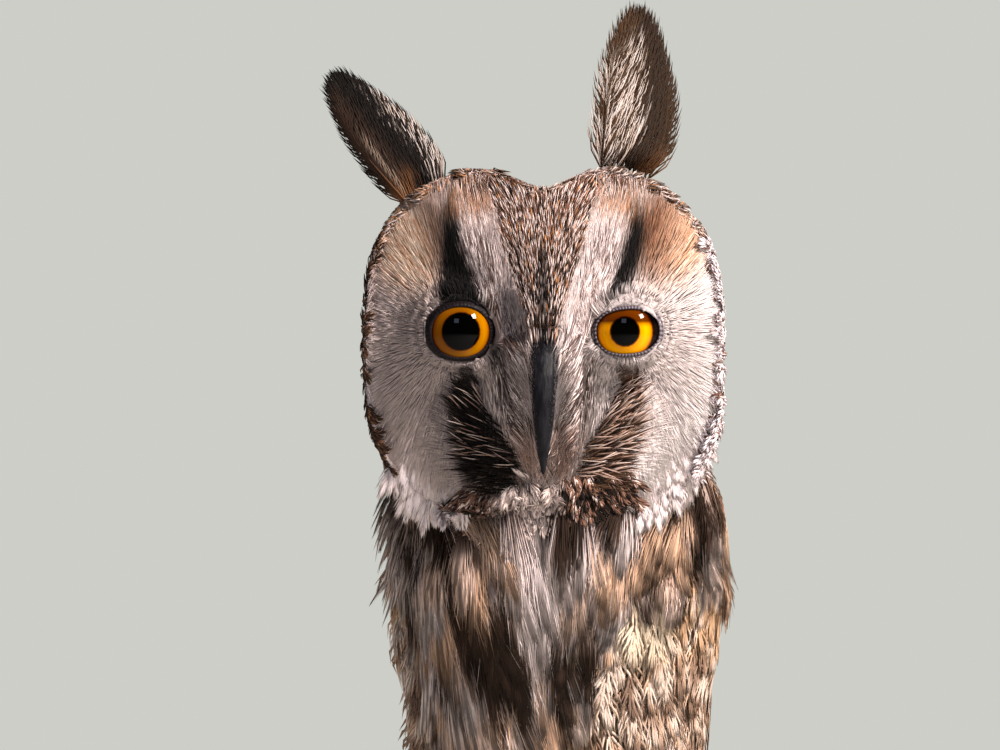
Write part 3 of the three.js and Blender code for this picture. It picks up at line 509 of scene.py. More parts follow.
def middle_lines(roots, outs, lies, lengths, lift, ground):
    """Lines that follow a ground from each root, and the ways out from it, at MIDDLE_STEPS places."""
    lies = unit(lies - (lies * outs).sum(1)[:, None] * outs)
    line, up = [roots + outs * lift[0]], [outs]
    here, heading = roots, lies
    for k in range(1, MIDDLE_STEPS):
        share = k / (MIDDLE_STEPS - 1)
        ahead = here + heading * (lengths / (MIDDLE_STEPS - 1))[:, None]
        if ground is None:
            place, out = ahead, outs
        else:
            place, out, _ = nearest(ground, ahead)
            out = unit(out + 0.6 * up[-1])
        height = lift[0] + (lift[1] - lift[0]) * share ** 0.8
        heading = unit(ahead - here - ((ahead - here) * out).sum(1)[:, None] * out)
        here = place
        line.append(place + out * np.broadcast_to(height, len(roots))[:, None])
        up.append(out)
    return np.stack(line, axis=1), np.stack(up, axis=1)


def sliver_mesh(name, stations, ups, widths, colours, patches):
    """Slivers along rows of stations, in millimetres. Each narrows to a point at its last station."""
    count, steps = stations.shape[:2]
    heading = unit(np.gradient(stations, axis=1))
    side = unit(np.cross(heading, ups))
    over = unit(np.cross(side, heading))
    ring = stations[:, :-1, None, :] + widths[:, :, None, None] * np.stack(
        [side[:, :-1], -side[:, :-1], 0.5 * over[:, :-1]], axis=2)
    corners = np.concatenate([ring.reshape(count, -1, 3), stations[:, -1:, :]], axis=1)
    faces = [[0, 1, 2]]
    for k in range(steps - 2):
        for a, b in ((0, 1), (1, 2), (2, 0)):
            faces += [[3 * k + a, 3 * k + 3 + b, 3 * k + b], [3 * k + a, 3 * k + 3 + a, 3 * k + 3 + b]]
    last = 3 * (steps - 2)
    faces += [[last + a, last + 3, last + b] for a, b in ((0, 1), (1, 2), (2, 0))]
    per = corners.shape[1]
    faces = (np.array(faces)[None] + per * np.arange(count)[:, None, None]).reshape(-1, 3)
    shades = np.concatenate([np.repeat(colours[:, :-1], 3, axis=1), colours[:, -1:]], axis=1)
    spots = np.concatenate([np.repeat(patches[:, :-1], 3, axis=1), patches[:, -1:]], axis=1)
    return mesh_of(name, corners.reshape(-1, 3), faces, shades.reshape(-1, 3), spots.reshape(-1, 2))


def paint_corners(mesh, name, shades):
    paint = mesh.attributes.new(name, "FLOAT_COLOR", "POINT")
    paint.data.foreach_set("color", np.concatenate([shades, np.ones((len(shades), 1))], axis=1).ravel())


def mesh_of(name, corners, faces, shades, spots):
    mesh = bpy.data.meshes.new(name)
    mesh.vertices.add(len(corners))
    mesh.vertices.foreach_set("co", (corners * MM).ravel())
    mesh.loops.add(len(faces) * 3)
    mesh.loops.foreach_set("vertex_index", faces.ravel().astype(np.int32))
    mesh.polygons.add(len(faces))
    mesh.polygons.foreach_set("loop_start", np.arange(0, len(faces) * 3, 3, dtype=np.int32))
    mesh.polygons.foreach_set("use_smooth", np.ones(len(faces), dtype=bool))
    paint_corners(mesh, "plumage", shades)
    unwrap = mesh.uv_layers.new(name="OFBake")
    unwrap.uv.foreach_set("vector", spots[faces.ravel()].ravel())
    mesh.update(calc_edges=True)
    return new_object(name, mesh)


def lay(name, kind, roots, outs, lies, lengths, widths, paint, lift=(0.2, 2.0), ground=skin_ground,
        camber=0.25, line=None):
    """Feathers of one kind as one mesh. A line stands in for the ground where they don't lie on it."""
    count = len(roots)
    lengths, widths = np.broadcast_to(lengths, count), np.broadcast_to(widths, count)
    middle, up = middle_lines(roots, outs, lies, lengths, lift, ground) if line is None else line
    barbs = len(kind["lines"])
    u = kind["lines"][None, :, :, 0] + kind["ragged"] * rng.normal(0, JITTER_ALONG, (count, barbs, 1))
    v = kind["lines"][None, :, :, 1] * (1 + kind["ragged"] * rng.normal(0, JITTER_ACROSS, (count, barbs, 1)))
    heading, flat = unit(np.gradient(middle, axis=1)), u.reshape(count, -1)
    centre, out = (each_along(part, flat).reshape(*u.shape, 3) for part in (middle, up))
    ahead = each_along(heading, flat).reshape(*u.shape, 3)
    aside = unit(np.cross(ahead, out))
    half = (widths / 2)[:, None, None]
    places = centre + aside * (v * half)[..., None] - out * (camber * v ** 2 * half)[..., None]
    shades = paint(u, v, places)
    spots = patch_of(roots)[:, None, None, :] + PATCH * np.stack([v * 0.5, u - 0.5], axis=-1)
    thick = np.tile(kind["widths"], (count, 1))
    if barbs == 1:
        thick = thick * (widths / 2)[:, None]
    each = (count * barbs, u.shape[2], -1)
    return sliver_mesh(name, places.reshape(each), out.reshape(each), thick, shades.reshape(each),
                       spots.reshape(each))


def each_along(line, u):
    """Places at the shares u along each line."""
    at = np.clip(u, 0, 1.12) * (line.shape[1] - 1)
    low = np.clip(np.floor(at).astype(int), 0, line.shape[1] - 2)
    part = (at - low)[..., None]
    row = np.arange(len(line))[:, None]
    return line[row, low] * (1 - part) + line[row, low + 1] * part


def finish_piece(thing, material, slot, *solids):
    """Gives a piece its material, ties it to the root, and takes away the solids that it stands in for. The
    slot is not used.
    """
    thing.data.materials.append(material)
    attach(thing, "root")
    if solids:
        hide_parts(*solids)
    print(thing.name, "faces", len(thing.data.polygons))


# %% [markdown]
# Feathers are keratin, matt, with a faint sheen along the barbs. The colour comes from the paint laid on
# each sliver, and a fine noise breaks it up so that no two barbs are quite alike.

# %% Feather finish
plumage, tree, shader = new_material("feather_keratin", 0.85, Specular_IOR_Level=0.13, Sheen_Weight=0.02,
                                     Sheen_Roughness=0.5)
painted = add_node(tree, "ShaderNodeAttribute", attribute_name="plumage").outputs["Color"]
grain = noise(tree, object_place(tree), scale=900.0, detail=2.0).outputs["Fac"]
toned = vector_node(tree, "MULTIPLY", painted, ranged(tree, grain, to_min=0.82, to_max=1.16))
tree.links.new(toned.outputs["Vector"], shader.inputs["Base Color"])

# %% [markdown]
# The eyes are smooth balls, dark outside the iris, under a wet clear film. The iris is amber, with painted
# shade under the upper lid of the left eye and over the whole iris of the right eye, and each pupil has its
# own width. Both eyes look a little inwards, at the camera.

# %% Eyes
EYES = {
    -1: {"node": "eye_right", "pupil": 4.55, "iris": 6.95, "inwards": 0.45},
    1: {"node": "eye_left", "pupil": 3.45, "iris": 6.75, "inwards": 0.5},
}
IRIS_RINGS = [(0.0, "#010101"), (0.325, "#020201"), (0.345, "#6a3300"), (0.375, "#e58f00"), (0.5, "#f6a600"),
              (0.6, "#ec8c00"), (0.645, "#a04c00"), (0.675, "#120a07")]
IRIS_PAINTED_SHADE = "#5e4423"
cornea, tree, shader = new_material("wet_cornea", 0.5, Specular_IOR_Level=0.0, Coat_Weight=0.28,
                                    Coat_Roughness=0.01, Coat_IOR=1.376)
share = add_node(tree, "ShaderNodeAttribute", attribute_name="iris_share").outputs["Fac"]
fibres = noise(tree, object_place(tree), scale=1400.0, detail=3.0).outputs["Fac"]
ragged = ranged(tree, fibres, to_min=-0.015, to_max=0.015)
rings = ramp(tree, reckoned(tree, "ADD", share, ragged), *IRIS_RINGS)
painted_iris_shade = add_node(tree, "ShaderNodeAttribute", attribute_name="painted_iris_shade").outputs["Fac"]
iris_colour = blended(tree, painted_iris_shade, rings, rgba(IRIS_PAINTED_SHADE), "MULTIPLY")
tree.links.new(iris_colour, shader.inputs["Base Color"])


def eye_centre(side):
    return HEAD_CENTRE + EYE * (side, 1, 1)


for side, eye in EYES.items():
    bpy.ops.object.select_all(action="DESELECT")
    bpy.ops.mesh.primitive_uv_sphere_add(segments=96, ring_count=60, radius=EYE_RADIUS * MM,
                                         location=eye_centre(side) * MM, rotation=(math.pi / 2, 0, 0))
    ball = bpy.context.object
    ball.name = eye["node"].replace("eye", "eyeball")
    bpy.ops.object.transform_apply(location=True, rotation=True, scale=True)
    bpy.ops.object.shade_smooth()
    offset = corners_of(ball) - eye_centre(side)
    across = offset[:, 0] + side * eye["inwards"]
    far = np.hypot(across, offset[:, 2])
    share_at = np.interp(far, [0, eye["pupil"], eye["iris"], EYE_RADIUS], [0, 1, 2, 3]) / 3
    share_at = np.where(offset[:, 1] > 0, 1, share_at)
    # Painted shade on the iris: across the top of the left eye's iris, under its lid, and over all of the
    # right eye's, deepest towards its outer, upper side.
    if side > 0:
        painted_shade_at = 1.25 * smooth(offset[:, 2], 0.8, 3.2)
    else:
        painted_shade_at = 0.88 - 0.26 * smooth(across - 0.4 * offset[:, 2], -2, 6)
    for name, values in (("iris_share", share_at), ("painted_iris_shade", painted_shade_at)):
        ball.data.attributes.new(name, "FLOAT", "POINT").data.foreach_set("value", values)
    finish_piece(ball, cornea, "eye", eye["node"])
    print("pupil mm", 2 * eye["pupil"])

# %% [markdown]
# Bill and claws are black horn, polished by use. The solids already have their shape, so a fine remesh of
# a copy smooths the facets away and keeps the nostrils.

# %% Bill and claws
horn, tree, shader = new_material("black_horn", 0.58, Specular_IOR_Level=0.16, Coat_Weight=0.03,
                                  Coat_Roughness=0.3)
wear = noise(tree, placed(tree, object_place(tree), scale=(900, 900, 160)), scale=1.0, detail=4.0)
horn_colours = ramp(tree, wear.outputs["Fac"], (0.4, "#060509"), (0.8, "#211f26"))
tree.links.new(horn_colours, shader.inputs["Base Color"])
raise_bumps(tree, shader, wear.outputs["Fac"], strength=0.6, distance=0.6 * MM)
CLAWS = [f"claw_{side}_{toe}" for side in ("right", "left") for toe in ("inner", "middle", "outer", "hind")]
HORNS = {"bill": (["bill_upper", "bill_lower"], 0.3, 14), "claws": (CLAWS, 0.34, 5)}
horn_pieces = {}
for name, (nodes, voxel, smoothing) in HORNS.items():
    horn_pieces[name] = remeshed(name, nodes, voxel, smoothing)
    finish_piece(horn_pieces[name], horn, "horn", *nodes)

# %% [markdown]
# The face's pattern is drawn once, as named marks in millimetres from the head's centre: the white brows,
# the black patches inside them, the warm patches outside and the dark ground at the gape. The two sides of
# a real bird differ a little, so each side has its own sizes. A stroke is a list of places and half widths.

# %% Marks of the face
MARKS = {
    -1: {
        "brow": [(15.2, 28, 3.8), (15.0, 21.6, 3.7), (13.2, 15.3, 2.9), (11.0, 9, 2.4), (7.9, 2.6, 3.0),
                 (6.4, -3, 3.4)],
        "black": [(22.2, 32, 1.3), (21.8, 28, 2.3), (21.5, 21.6, 2.9), (20.5, 15.3, 4.7), (19.4, 11.6, 6.6),
                  (14.5, 7.5, 2.5), (12.2, 2, 1.6), (12.0, -3.5, 1.4)],
        "warm": (31, 22, 8.2, 10),
        "gape": [(17.4, -7.5, 1.4), (17.6, -12, 2.2), (16.4, -18, 3.4), (12.8, -24.5, 5.2), (10.2, -30, 5.8)],
    },
    1: {
        "brow": [(15.9, 27.5, 4.0), (14.7, 21.6, 3.7), (13.1, 15.3, 3.3), (10.8, 9, 3.2), (8.5, 2.6, 3.4),
                 (7.0, -3.7, 3.4)],
        "black": [(20.8, 29.8, 1.4), (22.3, 24.8, 2.3), (21.2, 21.6, 2.7), (20.4, 18.5, 2.9),
                  (18.9, 15.3, 2.6), (16.9, 12.8, 1.7), (14.8, 10.5, 0.8)],
        "warm": (30, 24, 9.4, 10),
        "gape": [(19.6, -6.5, 1.5), (19.8, -12, 2.2), (17.4, -20, 3.8), (13.6, -27, 4.8), (11.4, -34, 4.6)],
    },
}
LORES = [(10.5, -4, 3.0), (9, -10, 4.2), (6.8, -18, 4.6), (5.0, -26, 3.2)]
FACE_HEX = {
    "disc": "#c2b0ac", "disc_pale": "#fdf2ef", "rim": "#ebdcde", "white": "#f2e1dd", "grey": "#9c8b87",
    "brow_dark": "#60473e", "black": "#0b0706", "warm": "#cc9d7c", "warm_pale": "#e8d0bb",
    "warm_dark": "#673b22", "soot": "#0d0907", "umber": "#2c1c13", "russet": "#634634",
    "fawn": "#b99077", "lores": "#9a8882", "lores_dark": "#4e3f3b", "lores_tip": "#ab7c67",
    "fleck_dark": "#1e130d", "fleck_mid": "#7c5a4a",
    "fleck_pale": "#d9c4bc", "fleck_buff": "#c98a58", "crown_brown": "#a07a60",
}
FACE = {name: colour(code) for name, code in FACE_HEX.items()}


def mixed(base, over, weight):
    """One colour with another over it, by a weight from 0 to 1 at each place."""
    return base + (over - base) * np.asarray(weight)[..., None]


def spot(side, z, cx, cz, rx, rz, soft=0.45):
    return 1 - smooth(np.hypot((side - cx) / rx, (z - cz) / rz), 1 - soft, 1 + soft)


def stroke(side, z, points, soft=1.6):
    weight = np.zeros(side.shape)
    for (ax, az, aw), (bx, bz, bw) in zip(points, points[1:]):
        dx, dz = bx - ax, bz - az
        t = np.clip(((side - ax) * dx + (z - az) * dz) / (dx * dx + dz * dz), 0, 1)
        far = np.hypot(side - ax - t * dx, z - az - t * dz) - (aw + (bw - aw) * t)
        weight = np.maximum(weight, 1 - smooth(far, -soft, soft))
    return weight


def wedge(x, z):
    half = np.interp(z, [-4, 4, 12, 20, 28, 36, 44], [1.8, 3.8, 6.2, 9.0, 10.4, 13, 17])
    return 1 - smooth(np.abs(x) - half, -0.8, 1.2)


def by_side(x, of_side):
    return np.where(x < 0, of_side(-1), of_side(1))


def mark(x, z, name, soft=1.6):
    return by_side(x, lambda side: stroke(np.abs(x), z, MARKS[side][name], soft))


def warm_mark(x, z, soft=0.45):
    return by_side(x, lambda side: spot(np.abs(x), z, *MARKS[side]["warm"], soft))


def picked(fleck, *shares):
    """Picks a colour for each value of fleck, from 0 to 1, by pairs of share and colour name."""
    shade = FACE[shares[-1][1]]
    limit = sum(share for share, _ in shares[:-1])
    for share, name in reversed(shares[:-1]):
        shade = np.where((fleck < limit)[..., None], FACE[name], shade)
        limit -= share
    return shade


# %% [markdown]
# No mark on a bird is one flat colour. Every hair picks its own shade from a short list for the place it
# grows in, so a brow is white with grey and brown hairs in it, and the dark ground at the gape is broken by
# fawn ones.


# %% Colours of the face
def disc_colours(x, z, fleck):
    """The grey and white fans beside the eyes, the warm patches over them and the ground at the gape. The
    bird's right fan is greyer all over, as painted shade.
    """
    side, share = np.abs(x), face_share(x, z)
    left = (x > 0).astype(float)
    pale = smooth(share, 0.55, 0.9) * smooth(from_eye(x, z), 10, 26)
    # Painted shade: the bird's right fan keeps the greyer disc colour all over, while the left one turns
    # towards disc_pale.
    shade = mixed(FACE["disc"], FACE["disc_pale"], left * (0.35 + 0.65 * pale))
    shade = mixed(shade, FACE["rim"], (1 - left) * smooth(share, 0.84, 0.92) * smooth(-z, 0, 12))
    shade = mixed(shade, FACE["white"], smooth(share, 0.74, 0.86) * smooth(-z, 20, 28))
    warm = warm_mark(x, z, 0.5)
    right_warm = picked(fleck, (0.6, "warm_pale"), (0.4, "warm"))
    left_warm = picked(fleck, (0.15, "warm_pale"), (0.85, "warm"))
    shade = mixed(shade, np.where(left[..., None] > 0, left_warm, right_warm), 0.95 * warm)
    near_black = (1 - smooth(side - 0.25 * (z - 22) + 3 * (fleck - 0.5), 23.5, 29.5 + 4.5 * left)) * warm
    shade = mixed(shade, FACE["warm_dark"], 0.9 * near_black)
    gape = mark(x, z, "gape", 2.2)
    right_gape = picked(fleck, (0.72, "soot"), (0.2, "umber"), (0.08, "russet"))
    left_gape = picked(fleck, (0.5, "umber"), (0.26, "russet"), (0.24, "fawn"))
    return mixed(shade, np.where(left[..., None] > 0, left_gape, right_gape), gape), gape


def chin_colours(x, fleck):
    """Whitish down under the bill, with brown flecks to the bird's right and darker ones to its left."""
    fluffy = (1 - smooth(np.abs(x + 4), 6, 10))[..., None]
    flecked = np.where(x[..., None] < 0,
                       picked(fleck, (0.34, "fleck_dark"), (0.34, "fleck_mid"), (0.32, "fleck_pale")),
                       picked(fleck, (0.5, "fleck_dark"), (0.3, "fleck_mid"), (0.2, "fleck_pale")))
    downy = picked(fleck, (0.14, "fleck_dark"), (0.26, "grey"), (0.6, "fleck_pale"))
    return flecked + fluffy * (downy - flecked)


def face_colours(x, z, fleck):
    """The plumage colour at places on the face, where fleck from 0 to 1 picks among the speckles."""
    side = np.abs(x)
    shade, gape = disc_colours(x, z, fleck)
    beside_bill = stroke(side, z, LORES, 2.0) * (1 - 0.85 * gape)
    shade = mixed(shade, picked(fleck, (0.38, "lores_dark"), (0.38, "lores"), (0.24, "white")), beside_bill)
    shade = mixed(shade, FACE["lores_tip"], 0.7 * beside_bill * smooth(-z, 14, 24) * (fleck > 0.4))
    shade = mixed(shade, FACE["black"], mark(x, z, "black", 1.6))
    brow = mark(x, z, "brow", 1.4) * (1 - smooth(z + 9 * (fleck - 0.5), 25, 31))
    # Both brows mix grey and brown hairs among the white ones as painted shading lines between hairs; the
    # bird's right brow has more of them, as painted shade on that side.
    right_brow_with_painted_shade = picked(fleck, (0.3, "white"), (0.42, "grey"), (0.28, "brow_dark"))
    left_brow = picked(fleck, (0.38, "white"), (0.44, "grey"), (0.18, "brow_dark"))
    shade = mixed(shade, np.where(x[..., None] < 0, right_brow_with_painted_shade, left_brow), brow)
    over_brow = smooth(z, 25, 31) * smooth(side, 8, 13) * (1 - smooth(side, 20, 24))
    brow_top = picked(fleck, (0.5, "crown_brown"), (0.3, "fleck_buff"), (0.2, "fleck_pale"))
    shade = mixed(shade, brow_top, 0.8 * over_brow)
    flecks = picked(fleck, (0.28, "fleck_dark"), (0.36, "fleck_mid"), (0.32, "fleck_pale"),
                    (0.04, "fleck_buff"))
    shade = mixed(shade, flecks, smooth(z, 31, 35) * smooth(side, 6, 12))
    high = smooth(z, 14, 26)[..., None]
    between = (1 - high) * picked(fleck, (0.42, "fleck_dark"), (0.2, "fleck_mid"), (0.34, "fleck_pale"),
                                  (0.04, "fleck_buff"))
    between = between + high * picked(fleck, (0.2, "fleck_dark"), (0.36, "fleck_mid"), (0.38, "fleck_pale"),
                                      (0.06, "fleck_buff"))
    line = (1 - smooth(side, 0.4, 1.4 + 0.09 * (20 - z))) * smooth(z, -6, 0) * (1 - smooth(z, 20, 26))
    between = mixed(between, FACE["black"], 0.85 * line)
    shade = mixed(shade, between, wedge(x, z) * (1 - 0.7 * mark(x, z, "brow", 0.8) * (z < 26)))
    chin = (1 - smooth(z, -34, -30)) * (1 - smooth(side, 15, 21))
    return mixed(shade, chin_colours(x, fleck), chin)


# %% [markdown]
# The lie of the face is a sum of flows. Everywhere the hairs fan out from the eye. The brows and the black
# patches flow up, the feathers beside the bill flow down, and those at the gape fan out from its corner.

# %% Lie of the face
GAPE = np.array([5.0, -31.0])
NEAR_EYE = 10.4


def face_lie(x, z):
    side, sign = np.abs(x), np.where(x < 0, -1, 1)
    across, up = side - EYE[0], z - EYE[2]
    far = np.hypot(across, up)
    flows = [(across / far, up / far, 0.25 + 5 * (1 - smooth(far, 8, 11)))]
    flows.append((0.3, 1.0, 3 * mark(x, z, "brow", 3)))
    flows.append((0.1, 1.0, 2 * mark(x, z, "black", 2) * smooth(z, 8, 14)))
    flows.append((-0.24, -1.0, 3 * stroke(side, z, LORES, 3)))
    gape = np.hypot(side - GAPE[0], z - GAPE[1])
    flows.append(((side - GAPE[0]) / gape, (z - GAPE[1]) / gape, 2 * mark(x, z, "gape", 3)))
    flows.append((side / 16, 1.0, 4 * wedge(x, z)))
    flows.append((side / 14, -1.0, 4 * (1 - smooth(z, -38, -31)) * (1 - smooth(side, 16, 24))))
    across = sum(weight * a for a, _, weight in flows)
    up = sum(weight * b for _, b, weight in flows)
    return unit(np.stack([across * sign, 0 * x, up], axis=-1))


def on_face(places, edge=0.97):
    x, y, z = from_head(places)
    return (face_share(x, z) < edge) & (y < -16) & (z > -46)


def clear_of_eyes_and_bill(places):
    x, _, z = from_head(places)
    return (from_eye(x, z) > NEAR_EYE) & ((np.abs(x) > 2.4) | (z > -1) | (z < -32))


# %% [markdown]
# The skin carries the same marks as the coat over it, painted darker as shade between the feathers. Where a
# gap opens between hairs, the right colour shows through, in painted shade.

# %% Paint on the skin
UNDER_DOWN = "#8a7663"
skin_place = skin_corners - HEAD_CENTRE
shade = face_colours(skin_place[:, 0], skin_place[:, 2], np.full(len(skin_corners), 0.5))
facing = on_face(skin_corners, 1.0).astype(float)
# Painted shade: the skin takes half of its colour off the face and seven tenths on it, so that gaps between
# the feathers read as shadow.
shade = mixed(colour(UNDER_DOWN), shade, facing) * (0.5 + 0.2 * facing)[:, None]
paint_corners(skin.data, "plumage", shade)
finish_piece(skin, plumage, "plumage", *FLESH, *WINGS, "tail")
print("painted skin places", len(shade))

# %% [markdown]
# The lids are bare beaded skin that hugs the ball. Each is a ring whose inner edge is the shape of the open
# eye. A thin beaded band shows at the margin, and the rest lies under the face feathers as a ground for them,
# painted darker there as shade under the hairs. The bird's right eye has a broad black band, and its left eye
# a narrow grey one whose beads are parted by creases with painted shade in them.

# %% Lids
# The bands are the widths of bare skin on the outer, upper, inner and lower side, in millimetres.
LIDS = {
    -1: {"word": "right", "shift": (0.4, -0.1), "wide": 6.95, "top": 6.0, "bottom": 6.1, "square": 2.1,
         "tilt": 0, "bands": (1.9, 1.3, 2.2, 0.9), "beads": 0.12, "shine": 0.12,
         "hex": "#0f0d0e"},
    1: {"word": "left", "shift": (0.15, 0.1), "wide": 7.5, "top": 5.2, "bottom": 5.4, "square": 2.35,
        "tilt": 4, "bands": (1.15, 0.8, 0.6, 0.7), "beads": 0.26, "shine": 0.3,
        "hex": "#8a7f88"},
}
# Each row is a share of the bare band, a share of the rest, how far it is raised over the ball, and how
# much of the beads it shows.
LID_ROWS = [
    (0.0, 0, 0.03, 0.0), (0.12, 0, 0.3, 0.35), (0.4, 0, 0.5, 1.0), (0.72, 0, 0.5, 1.0), (1.0, 0, 0.35, 0.5),
    (1, 0.35, 0.3, 0.0), (1, 0.7, 0.25, 0.0), (1, 1, 0.2, 0.0), (1, 1, -0.6, 0.0), (0.5, 0, -0.6, 0.0),
    (0.0, 0, -0.3, 0.0),
]
LID_END = 9.8
LID_BEADS = 48
# LID_CREASE fills the creases between the beads and the inner edge; on the grey left lid it is painted shade
# in the creases.
LID_CREASE = "#1b1215"


def lid_edge(side, turns):
    """The open eye's edge and the width of the bare band, in the directions that turns gives."""
    lid, n = LIDS[side], LIDS[side]["square"]
    c, s = side * np.cos(turns), np.sin(turns)
    outer, top, inner, bottom = lid["bands"]
    edge = (np.abs(c / lid["wide"]) ** n + np.abs(s / np.where(s > 0, lid["top"], lid["bottom"])) ** n)
    band = np.where(c > 0, outer, inner) * c ** 2 + np.where(s > 0, top, bottom) * s ** 2
    return edge ** (-1 / n), band


def beyond_lid(side, places):
    """How far places lie outside the bare band, in millimetres, seen from the front."""
    lid = LIDS[side]
    offset = places - eye_centre(side)
    x, z = offset[:, 0] - lid["shift"][0], offset[:, 2] - lid["shift"][1]
    edge, band = lid_edge(side, np.arctan2(z, x) - math.radians(lid["tilt"]) * side)
    return np.hypot(x, z) - edge - band


def lid_shape(side):
    lid = LIDS[side]
    turns = np.arange(LID_BEADS * 4) / (LID_BEADS * 4) * 2 * math.pi
    swell = 0.5 + 0.5 * np.cos(LID_BEADS * turns)
    edge, band = lid_edge(side, turns)
    ways = turns + math.radians(lid["tilt"]) * side
    rows = []
    for band_share, rest, raised, beaded in LID_ROWS:
        reach = edge + band * band_share
        x, z = reach * np.cos(ways) + lid["shift"][0], reach * np.sin(ways) + lid["shift"][1]
        far = np.hypot(x, z)
        grown = (far + (LID_END - far) * rest) / far
        ball = EYE_RADIUS + raised + lid["beads"] * beaded * swell
        depth = np.sqrt(np.maximum(ball ** 2 - (far * grown) ** 2, 1.0))
        rows.append(np.stack([x * grown, -depth, z * grown], axis=1))
    corners = np.stack(rows, axis=1).reshape(-1, 3) + eye_centre(side)
    around, across = np.meshgrid(np.arange(len(turns)), np.arange(len(LID_ROWS)), indexing="ij")
    after, beside = (around + 1) % len(turns), (across + 1) % len(LID_ROWS)
    steps = ((around, across), (around, beside), (after, beside), (after, across))
    quads = np.stack([a * len(LID_ROWS) + b for a, b in steps], axis=-1).reshape(-1, 4)
    beads = np.outer(swell, [row[3] for row in LID_ROWS]).ravel()
    bare = np.tile([float(row[1] == 0) for row in LID_ROWS], len(turns))
    head = corners - HEAD_CENTRE
    # Painted shade: under the hairs the lid takes the face's colours at eight tenths, and between the beads
    # it takes LID_CREASE.
    under_hairs_in_painted_shade = 0.8 * face_colours(head[:, 0], head[:, 2], np.full(len(head), 0.5))
    return corners, quads, mixed(under_hairs_in_painted_shade, mixed(colour(LID_CREASE), colour(lid["hex"]), beads), bare)


lid_shapes = {side: lid_shape(side) for side in LIDS}
for side, lid in LIDS.items():
    corners, quads, shades = lid_shapes[side]
    mesh = bpy.data.meshes.new("lids_" + lid["word"])
    mesh.from_pydata((corners * MM).tolist(), [], quads.tolist())
    ring = new_object(mesh.name, mesh)
    only(ring)
    bpy.ops.object.mode_set(mode="EDIT")
    bpy.ops.mesh.select_all(action="SELECT")
    bpy.ops.mesh.normals_make_consistent(inside=False)
    bpy.ops.object.mode_set(mode="OBJECT")
    bpy.ops.object.shade_smooth()
    paint_corners(mesh, "lid_paint", shades)
    lid_skin, tree, shader = new_material("lid_skin_" + lid["word"], 0.5, Specular_IOR_Level=lid["shine"])
    lid_colour = add_node(tree, "ShaderNodeAttribute", attribute_name="lid_paint")
    tree.links.new(lid_colour.outputs["Color"], shader.inputs["Base Color"])
    pebbles = add_node(tree, "ShaderNodeTexVoronoi", {"Vector": object_place(tree), "Scale": 1300.0})
    raise_bumps(tree, shader, pebbles.outputs["Distance"], strength=0.5, distance=0.3 * MM)
    finish_piece(ring, lid_skin, "face_plumage")

# %% [markdown]
# The face is covered by fine hair-like feathers that fan out from each eye. They are short at the eye,
# longer towards the rim, and turn with the marks: up along the brows, down beside the bill. Next to the
# eye they stand on the lids, right up to the bare band, so they are set on skin and lids together.

# %% Face
HAIR_SPACING = 0.635
HAIRS_NEAR_EYE = 3000
lid_corners = np.concatenate([lid_shapes[side][0] for side in LIDS])
lid_quads = np.concatenate([lid_shapes[-1][1], lid_shapes[1][1] + len(lid_shapes[-1][0])])
lid_faces = np.concatenate([lid_quads[:, :3], lid_quads[:, [0, 2, 3]]]) + len(skin_corners)
face_ground = ground_of(np.concatenate([skin_corners, lid_corners]),
                        np.concatenate([skin_faces, lid_faces]))
IN_FRONT_Y = -100.0


def front_of(ground, x, z, missing):
    """How far back a ground's front lies, at places seen from the camera's side."""
    hits = [ground.ray_cast((a, IN_FRONT_Y, c), (0, 1, 0))[0] for a, c in zip(x.tolist(), z.tolist())]
    return np.array([hit.y if hit else missing for hit in hits])


def roots_near_eye(side, count):
    turns, reach = rng.uniform(0, 2 * math.pi, count), NEAR_EYE * np.sqrt(rng.uniform(0.15, 1.05, count))
    x, z = eye_centre(side)[0] + reach * np.cos(turns), eye_centre(side)[2] + reach * np.sin(turns)
    y = front_of(face_ground, x, z, 0.0)
    places = np.stack([x, y, z], axis=1)[y < -5]
    places = places[beyond_lid(side, places) > 0.1]
    return places, unit(places - eye_centre(side) - (0, 4, 0))


def hair_length(x, z):
    length = 2.2 + 8.0 * smooth(from_eye(x, z), 8, 26)
    wishes = [(7.0, mark(x, z, "brow", 1.5)), (2.6, wedge(x, z)), (3.4, smooth(z, 32, 37)),
              (4.0, smooth(face_share(x, z), 0.82, 0.96) * smooth(z, -22, -4)),
              (2.6, (1 - smooth(z, -34, -30)) * (1 - smooth(np.abs(x), 14, 20)))]
    for wish, weight in wishes:
        length = length + (wish - length) * weight
    return length


def lay_face_hairs(name, roots, outs, lies, lengths, widths, grain=0.17, **how):
    place = roots - HEAD_CENTRE
    tone, fleck = grain * rng.uniform(-1, 1, (len(roots), 1, 1)), rng.random((len(roots), 1, 1))
    stray = rng.normal(0, 0.4, (len(roots), 2))

    def paint(u, v, places):
        head = 0.6 * place[:, None, None, :] + 0.4 * (places - HEAD_CENTRE)
        x, z = head[..., 0] + stray[:, None, None, 0], head[..., 2] + stray[:, None, None, 1]
        return face_colours(x, z, fleck + 0 * u) * (0.94 + tone + 0.22 * (u - 0.5))[..., None]

    hairs = lay(name, HAIR, roots, outs, lies, lengths, widths, paint, **how)
    finish_piece(hairs, plumage, "face_plumage")


